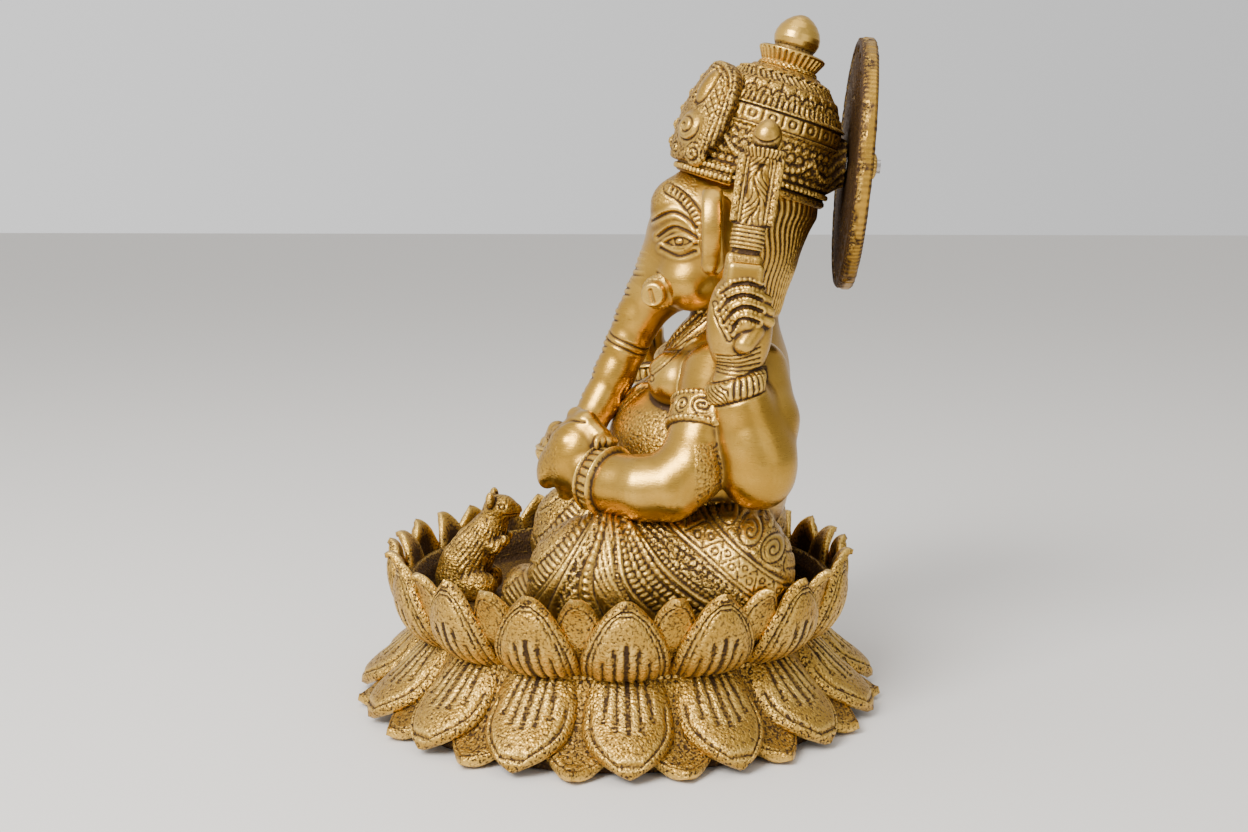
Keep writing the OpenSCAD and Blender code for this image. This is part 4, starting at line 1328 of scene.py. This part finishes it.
def crest_marks(p, out):
    a, h, r = rolled(p)
    side = np.abs(a)
    cut = 0 * a
    for at_a, at_h, size, gap, hand in ((15.0, 13.0, 5.9, 2.9, 1), (20.5, 4.6, 4.0, 2.3, -1),
                                        (9.5, 4.6, 3.0, 1.8, 1)):
        cut = cut + scroll(side - at_a, h - at_h, size, gap, hand, 0.5, 0.9)
    smooth = np.hypot((side - 14.5) * 1.15, (h - 29) * 0.62)
    cut = cut + line(smooth - 4.6, 0.5, 0.8) + line(np.hypot(side - 9.6, h - 24.5) - 1.1, 0.4, 0.8)
    for k in range(5):
        up = (h - 7 - 6.3 * k) * 0.9
        cut = cut + ring(a, up, 1.6, 0.45, 0.7) + ring(a, up, 3.2, 0.45, 0.7)
    net = within(side, 19.5, 25.0) * within(h, 18, 32)
    cut = cut + net * (line(near(side + h, 3.4), 0.4, 0.7) + line(near(side - h, 3.4), 0.4, 0.7))
    free = ramp(smooth, 4.6, 5.2) * (1 - net) * ramp(np.hypot(side - 15, h - 13), 6.2, 6.8)
    edge, _ = path_distance(side, h, [(25.6, 4), (26, 18), (23.5, 31), (15.5, 36.4), (6, 37.5)])
    cut = cut + line(edge, 0.5, 0.9) + line(edge - 1.7, 0.4, 0.5)
    return cut + grains(side, h, 1.2, 0.35) * free, np.clip(0.25 + 0.65 * free, 0, 1)

cast_part("crest_plate", crest, [], (-33, 2, 186), (33, 52, 240), ["crown_crest"], crest_marks,
          cast_brass, step=0.85)

# %% [markdown]
# ## The roll under the crown
# A beaded roll closes the crown over the brow, and sinks into the hair behind. Crown, cone and
# roll were one casting, so they are gathered into one piece.

# %% Roll of beads
rope_profile = [(26, -2.6), (27.6, -2.3), (28.6, -1.2), (28.7, 0), (28.2, 0.9), (28.9, 1.9), (28.8, 3),
                (27.6, 3.9), (26, 4)]

def rope_marks(angle, along, points):
    h = points[:, 2]
    front = ramp(np.cos(angle + np.pi / 2), 0.22, 0.3)
    cut = bead_row(angle * 28, h + 0.7, share(28, 92), 0.95, 0.8)
    cut = cut + bead_row(angle * 28, h - 2.5, share(28, 92), 0.95, 0.8)
    return cut * front - 2.4 * (1 - front), 0.5, 0.15

rope = turned(rope_profile, rope_marks, turns=480, fine=0.6)
rope = put(rope, crown_lean, crown_at)
whole = gather(crown_mesh[:3], boss[:3], rope[:3])
crown_wax_and_shade = np.concatenate([crown_mesh[3], boss[3], rope[3]])
make_piece("crown_turned", *whole[:2], ["crown"], cast_brass, wax_and_shade=0.75 * crown_wax_and_shade, dots=whole[2])

# %% [markdown]
# ## The bud
# A fluted collar and a round bud end the crown. The bud is the part that hands polish, and wax
# stays only in the groove under it.

# %% Bud on the crown
def bud_marks(angle, along, points):
    h = points[:, 2]
    collar = within(h, 44.4, 48.2, 0.4) * ramp(lengths(points[:, :2]), 9.6, 10)
    cut = collar * ticks(angle * 12, share(12, 30), 0.5, 0.9)
    cut = cut + within(h, 42.4, 44, 0.2) * ticks(angle * 11 + h, share(11, 34), 0.45, 0.6)
    dark = within(h, 49.1, 51.4, 0.3)
    return cut, 0.15 + 0.75 * dark + 0.4 * collar, 0.85 * dark

bud = turned([(3, 42), (10.6, 42.1), (11.2, 42.8), (10.8, 43.8), (10.1, 44.2), (10.6, 45), (12.2, 48), (12.3, 48.8),
              (11.4, 49.4), (8.8, 49.6), (7.4, 49.9), (7.2, 50.6), (7.9, 51.8), (8.4, 53.6), (8.2, 55.6), (7.3, 57.8), (5.8, 59.8), (3.9, 61.4),
              (1.8, 62.5), (0.1, 62.8)], bud_marks, turns=260, fine=0.45)
make_piece("bud_turned", bud[0] @ crown_lean.T + crown_at, bud[1], ["crown_bud"], rubbed_brass,
           wax_and_shade=bud[3], dots=bud[2], slot="rubbed_brass")

# %% [markdown]
# ## The halo
# A thick cast disc stands behind the crown on a threaded stud and turns when its nut is eased.
# Its rim is filed bright with fine tool marks, the front border is bitten unevenly, and the
# grey brown face has rays cut from the middle. Being loose, it rides on its own body.

# %% Halo disc
def halo_marks(angle, along, points):
    r, h = lengths(points[:, :2]), points[:, 2]
    front = ramp(-h, -0.9, -0.3)
    bite = 41.6 + 0.9 * np.sin(angle * 23) + 0.7 * np.sin(angle * 41 + 1.3) + 0.6 * np.sin(angle * 67)
    ray = np.abs(np.sin(angle * 90 + 0.12 * r)) * 0.5 + 0.35 * np.sin(angle * 203 + r)
    face = ramp(-r, -bite - 0.3, -bite + 0.5)
    cut = front * (face * (-0.8 + 0.35 * ray) + line(r - 24, 0.5, 0.5) + line(r - 12, 0.5, 0.5))
    rim = ramp(r, 43.6, 44.4)
    tool = 0.05 * np.sin(angle * 131 + 4 * np.sin(angle * 9)) + 0.09 * np.sin(angle * 23 + 5 * np.sin(angle * 5))
    worn = 2.2 + 0.9 * np.sin(angle * 13) + 0.6 * np.sin(angle * 29 + 1) + 0.4 * np.sin(angle * 53)
    bitten = ramp(worn - h, -0.15, 0.25)
    cut = cut + rim * (tool - 0.35 * bitten)
    back = ramp(h, 5.6, 6.0)
    cut = cut + back * (line(r - 40.5, 0.5, 0.5) + 0.12 * np.sin(angle * 120) * ramp(-r, -40, -39))
    dull = np.maximum(ramp(-h, -0.9, -0.2), rim * bitten * 0.65)
    return cut, np.clip(0.12 + 0.6 * np.maximum(face, rim * bitten), 0, 1), dull * 0.9 + 0.2 * back

disc = turned([(2.6, 5.9), (2.6, 0.3), (3.4, 0.05), (12, 0.05), (42, 0.05), (44.3, 0.4), (44.9, 1.1),
               (45, 3), (44.9, 5.2), (44.2, 6.1), (42.4, 6.2), (12, 6.2), (3.2, 6.2), (2.6, 5.9)], halo_marks, turns=720, fine=0.9)
make_piece("halo_plate", disc[0] @ halo_way.T + halo_at, disc[1][:, ::-1], ["halo_disc"], cast_brass, body="halo",
           wax_and_shade=disc[3], dots=disc[2])

# %% [markdown]
# ## The thumb nut
# A small knurled nut holds the disc from behind. It turns on its own, so it rides a body of its
# own on the same stud.

# %% Thumb nut
def nut_marks(angle, along, points):
    r = lengths(points[:, :2])
    return ramp(r, 4, 4.8) * ticks(angle * 5.4, share(5.4, 22), 0.4, 0.45), 0.5, 0.3

nut = turned([(2.6, 6.5), (4.8, 6.5), (5.4, 7), (5.45, 8.6), (5.1, 9.8), (4.3, 10.8), (3.2, 11.3),
              (2.6, 11.4), (2.6, 6.5)],
             nut_marks, turns=220, fine=0.35)
make_piece("thumb_nut_turned", nut[0] @ halo_way.T + halo_at, nut[1][:, ::-1], ["halo_nut"], rubbed_brass, body="thumb_nut",
           wax_and_shade=nut[3], dots=nut[2], slot="rubbed_brass")

# %% [markdown]
# ## What the hands hold
# The rear left hand holds up a goad cast as a framed leaf with a bud above it, and the rear
# right hand a noose. Both are matted all over, since nobody rubs between such small forms.

# %% Goad
hand_top = np.array([50, 44.5, 162.0])
tool_lean = turn(x=-8.7, y=-4.7)

def in_hand(p, at, tilt):
    return (p - at) @ tilt

def goad(p):
    q = in_hand(p, hand_top, tool_lean)
    wide = 6.6 + 0.03 * (q[..., 2] - 10)
    body = slab(q, (-1, 0.6, 1.5), (5.6, 6.2, 5.0), 2)
    body = join(body, slab(q, (0, 0.6, 11.6), (5.2, 5.9, 5.4), 3.4), 0.8)
    board = inside_both(slab(q, (-0.6, 1.0, 27.5), (4.3, 8.0, 11.8), 1.6), np.abs(q[..., 1] - 1.0) - wide - 0.6, 0.5)
    body = join(body, board, 0.8)
    body = join(body, slab(q, (0, 0.8, 18.5), (3.4, 5.0, 3), 1.2), 0.5)
    skirt = inside_both(limb(q, [(0, 1.4, 36.5, 4.8), (0, 1.6, 40.6, 7.2)], 1), np.abs(q[..., 2] - 38.8) - 2.6, 0.8)
    bud = join(egg(q, (0, 1.6, 45.6), (4.6, 4.9, 5.6)), limb(q, [(0, 1.6, 47.5, 3), (0, 1.6, 50, 1.2)]), 1.5)
    leaf = egg(q, (3.2, 1.0, 28), (2.1, 3.6, 7.6), turn(x=10))
    return join(join(body, leaf, 0.5), join(skirt, bud, 0.5), 0.8)

def goad_marks(p, out):
    q = in_hand(p, hand_top, tool_lean)
    y, h = q[:, 1] - 1.0, q[:, 2]
    face = ramp(np.abs(out @ tool_lean[:, 0]), 0.35, 0.6)
    cut = within(h, 7, 16.4) * ticks(h, 1.45, 0.42, 0.6)
    panel = within(h, 16.6, 38) * face
    cut = cut + panel * (line(np.abs(y) - 3.9, 0.35, 0.7) + line(np.abs(y) - 5.0, 0.3, 0.6))
    vine = y - 1.6 * np.sin((h - 20) * 0.42)
    cut = cut + panel * within(np.abs(y), -1, 3.6) * line(vine, 0.5, 0.8)
    cut = cut + panel * within(np.abs(y), -1, 3.6) * line(near(h + 1.6 * np.abs(vine), 3.3), 0.4, 0.5)
    cut = cut + within(h, 38, 41.4) * ticks(np.arctan2(q[:, 1] - 1.6, q[:, 0]) * 7, 1.7, 0.45, 0.7)
    cut = cut + line(h - 43.2 - 0.12 * y * y, 0.4, 0.6) * face
    matt = panel * ramp(np.abs(y), 5.0, 5.3)
    smooth = ramp(h, 43.4, 44)
    return cut + matt * grains(y, h, 1.15, 0.4), np.clip(0.3 + 0.6 * matt - 0.2 * smooth, 0, 1)

cast_part("goad_panel", goad, [rear_arm], (38, 32, 154), (62, 62, 216), ["goad"], goad_marks, cast_brass,
          step=0.75, soft=1)

# %% [markdown]
# ## The noose
# The noose is a closed loop of twisted cord on the same kind of grip, leaning the other way.

# %% Noose
right_top = hand_top * (-1, 1, 1)
noose_lean = turn(x=-8.7, y=4.7)

def noose(p):
    q = in_hand(p, right_top, noose_lean)
    grip = slab(q, (0, 0.6, 3.5), (5.6, 6.2, 6.0), 2.4)
    body = join(grip, limb(q, [(0, 0.6, 9, 4.4), (0, 0.6, 14, 3.6)]), 1.5)
    loop = np.hypot(np.hypot(q[..., 0], q[..., 2] - 27) - 11.5, q[..., 1] - 0.4) - 3
    top = join(limb(q, [(0, 0.6, 38, 4.2), (0, 0.6, 40.5, 4.6), (0, 0.6, 44, 3), (0, 0.6, 47.6, 1)], 1), loop, 1)
    return join(body, top, 1)

def noose_marks(p, out):
    q = in_hand(p, right_top, noose_lean)
    turned_by = np.arctan2(q[:, 0], q[:, 2] - 27) * 11.5
    twist = np.arctan2(q[:, 1] - 0.4, np.hypot(q[:, 0], q[:, 2] - 27) - 11.5)
    loop = within(q[:, 2], 14.5, 38)
    cut = loop * (0.7 * np.abs(np.sin(turned_by * 0.95 + twist)) - 0.35)
    return cut + within(q[:, 2], 2, 12) * ticks(q[:, 2], 1.6, 0.42, 0.6), 0.6

cast_part("noose_loop", noose, [rear_arm], (-68, 32, 154), (-32, 62, 214), ["noose"], noose_marks, cast_brass,
          step=0.75, soft=1)

# %% [markdown]
# ## The bowl of sweets
# The left hand holds a small fluted bowl heaped with round sweets, which the tip of the trunk
# reaches. It shines from handling.

# %% Bowl of sweets
def sweets(p):
    q = p - np.array([20, -19.5, 96])
    bowl = inside_both(egg(q, (0, 0, 0), (9.6, 9.6, 8.6)), q[..., 2] - 1.5, 0.8)
    heap = egg(q, (0, 0, 3.6), (3.6, 3.6, 3.6))
    for k in range(6):
        angle = k * np.pi / 3 + 0.3
        heap = join(heap, egg(q, (5.0 * np.cos(angle), 5.0 * np.sin(angle), 1.6), (3.2, 3.2, 3.2)), 0.6)
    return join(bowl, heap, 0.6)

def sweet_marks(p, out):
    q = p - np.array([20, -19.5, 96])
    around = np.arctan2(q[:, 1], q[:, 0]) * 9
    cut = line(q[:, 2] - 0.2, 0.4, 0.6) + ticks(around, share(9, 24), 0.4, 0.6) * ramp(-q[:, 2], 0.6, 1)
    return cut, 0.6

cast_part("bowl_of_sweets", sweets, [left_hand], (8, -31, 85), (32, -7, 106), ["sweet_bowl"], sweet_marks,
          rubbed_brass, step=0.7, soft=0.6, slot="rubbed_brass")

# %% [markdown]
# ## The mouse
# The deity's mouse sits up against the front petals with its head raised. Its coat is cut in
# short strokes that follow the body.

# %% Mouse
def mouse(p):
    q = both_sides(p)
    body = limb(q, [(0, -61, 42, 9.8), (0, -59, 47.5, 9), (0, -55, 54, 7.8), (0, -50.5, 60, 6.4),
                    (0, -47.8, 65, 5.4)], 3)
    body = join(body, egg(q, (0, -45.5, 69.4), (5.6, 6.4, 5.0)), 2)
    body = join(body, limb(q, [(0, -43, 69, 4), (0, -39.6, 68.4, 2.6)]), 1.5)
    body = join(body, egg(q, (4.8, -48.5, 73), (2.4, 1.8, 3.2)), 0.6)
    body = join(body, limb(q, [(5, -53, 57, 2.8), (5.5, -47, 55, 2.3), (4, -43.5, 57.5, 2)]), 0.8)
    body = join(body, egg(q, (7, -54, 40), (5, 8, 6)), 1.5)
    return inside_both(body, 33.8 - p[..., 2], 0.6)

def mouse_marks(p, out):
    x, y, z = p.T
    across = (y + 61) * 0.87 - (z - 42) * 0.5
    strand = np.arctan2(x, -across) * 8 + 0.5 * np.sin(z * 0.5 + x)
    fur = ramp(-z, -65, -62)
    broken = 0.55 + 0.45 * np.sin(z * 0.8 + np.floor(strand / 1.9) * 2.3)
    cut = fur * (0.65 * np.abs(np.sin(np.pi * strand / 1.9)) - 0.35) * broken
    eye = np.hypot(y + 43.8, z - 70.6)
    cut = cut + (np.abs(x) > 3) * line(eye - 1.1, 0.35, 0.5) + line(z - 67.2, 0.35, 0.5) * (y > -44)
    return cut, 0.75

cast_part("seated_mouse", mouse, [lap], (-16, -76, 32), (16, -32, 80), ["mouse"], mouse_marks, cast_brass,
          step=0.8, soft=0.5)

# %% [markdown]
# ## Steel fixings
# The bolt, its washer and the halo's stud are plain turned steel, and none of them is seen
# from the front. They keep their exact shape and only get a finish: grey steel with turning
# marks and a little brown bloom.

# %% Steel
steel = bpy.data.materials.new("plain steel")
steel.use_nodes = True
tree = steel.node_tree
shader = tree.nodes["Principled BSDF"]
shader.inputs["Metallic"].default_value = 1.0
place = tree.nodes.new("ShaderNodeTexCoord").outputs["Object"]
bloom = add_node(tree, "ShaderNodeTexNoise", Vector=place, Scale=180.0, Detail=4.0).outputs["Fac"]
tree.links.new(blend_colour(tree, bloom, (0.55, 0.55, 0.56, 1), (0.38, 0.33, 0.28, 1)), shader.inputs["Base Color"])
fine_lines = add_node(tree, "ShaderNodeTexNoise", Vector=place, Scale=1400.0).outputs["Fac"]
spread = maths(tree, "MULTIPLY_ADD", fine_lines, 0.3, 0.2)
tree.links.new(spread, shader.inputs["Roughness"])
cut_lines = add_node(tree, "ShaderNodeBump", Height=fine_lines)
cut_lines.inputs["Strength"].default_value = 0.2
cut_lines.inputs["Distance"].default_value = 0.0001
tree.links.new(cut_lines.outputs["Normal"], shader.inputs["Normal"])
for name in ("seat_bolt", "seat_washer", "halo_stud"):
    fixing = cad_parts[name].data.materials
    fixing.clear()
    fixing.append(steel)
print("plain steel on the bolt, the washer and the stud")

# %% [markdown]
# ## Table, light and camera
# Brass shows what it reflects, so the room matters as much as the metal. Broad soft lights
# give the long highlights on the round limbs, a dimmer side behind the figure keeps the
# hollows brown, and the floor and walls stay plain and pale.

# %% Stage
def pale(name, colour):
    material = bpy.data.materials.new(name)
    material.use_nodes = True
    shader = material.node_tree.nodes["Principled BSDF"]
    shader.inputs["Base Color"].default_value = colour
    shader.inputs["Roughness"].default_value = 0.7
    return material

floor_mesh = bpy.data.meshes.new("floor")
far = 6.0
corners = [(x * far, y * far, -0.0004) for x, y in ((-1, -1), (1, -1), (1, 1), (-1, 1))]
floor_mesh.from_pydata(corners, [], [(0, 1, 2, 3)])
floor = bpy.data.objects.new("floor", floor_mesh)
bpy.context.scene.collection.objects.link(floor)
floor_mesh.materials.append(pale("pale floor", (0.70, 0.67, 0.63, 1)))
print("floor:", 2 * far, "m square")

# %% [markdown]
# ## Lamps and room
# One broad lamp high on the near side gives the long highlights, two weak ones fill, and the
# room is bright before the figure and dim behind it.

# %% Lights
def soft_light(name, power, size, place, aim=(0, 0, 0.12)):
    data = bpy.data.lights.new(name, "AREA")
    data.energy, data.size = power, size
    lamp = bpy.data.objects.new(name, data)
    bpy.context.scene.collection.objects.link(lamp)
    from_here = np.array(aim) - np.array(place)
    lamp.location = place
    lamp.rotation_euler = Vector(from_here).to_track_quat("-Z", "Y").to_euler()
    return lamp

soft_light("key", 25, 0.55, (0.8, -0.45, 0.85))
soft_light("top", 4, 0.9, (0.1, 0.1, 1.3))
soft_light("fill", 2, 0.8, (0.9, 0.8, 0.5))

world = bpy.data.worlds.new("room")
bpy.context.scene.world = world
world.use_nodes = True
tree = world.node_tree
sky = tree.nodes["Background"]
way = tree.nodes.new("ShaderNodeTexCoord").outputs["Generated"]
split = add_node(tree, "ShaderNodeSeparateXYZ", Vector=way)
side = add_node(tree, "ShaderNodeMapRange", Value=split.outputs["Y"])
side.inputs["From Min"].default_value, side.inputs["From Max"].default_value = -1.0, 1.0
side.inputs["To Min"].default_value, side.inputs["To Max"].default_value = 1.3, 0.5
sky.inputs["Color"].default_value = (1, 1, 1, 1)
tree.links.new(side.outputs["Result"], sky.inputs["Strength"])

print("lamps: key, top and fill")

# %% [markdown]
# ## The view
# A short portrait lens a little above the figure looks at its left side, as a small bronze is
# usually shown.

# %% Camera
view_azimuth, view_down = np.radians(4.0), np.radians(8.77)
camera_data = bpy.data.cameras.new("camera")
camera_data.lens, camera_data.sensor_width = 42.0, 36.0
camera = bpy.data.objects.new("camera", camera_data)
bpy.context.scene.collection.objects.link(camera)
camera.location = (0.5405, 0.0398, 0.1888)
level = np.cos(view_down)
look = Vector((-np.cos(view_azimuth) * level, -np.sin(view_azimuth) * level, -np.sin(view_down)))
camera.rotation_euler = look.to_track_quat("-Z", "Y").to_euler()
bpy.context.scene.camera = camera

print("lens:", camera_data.lens, "mm")
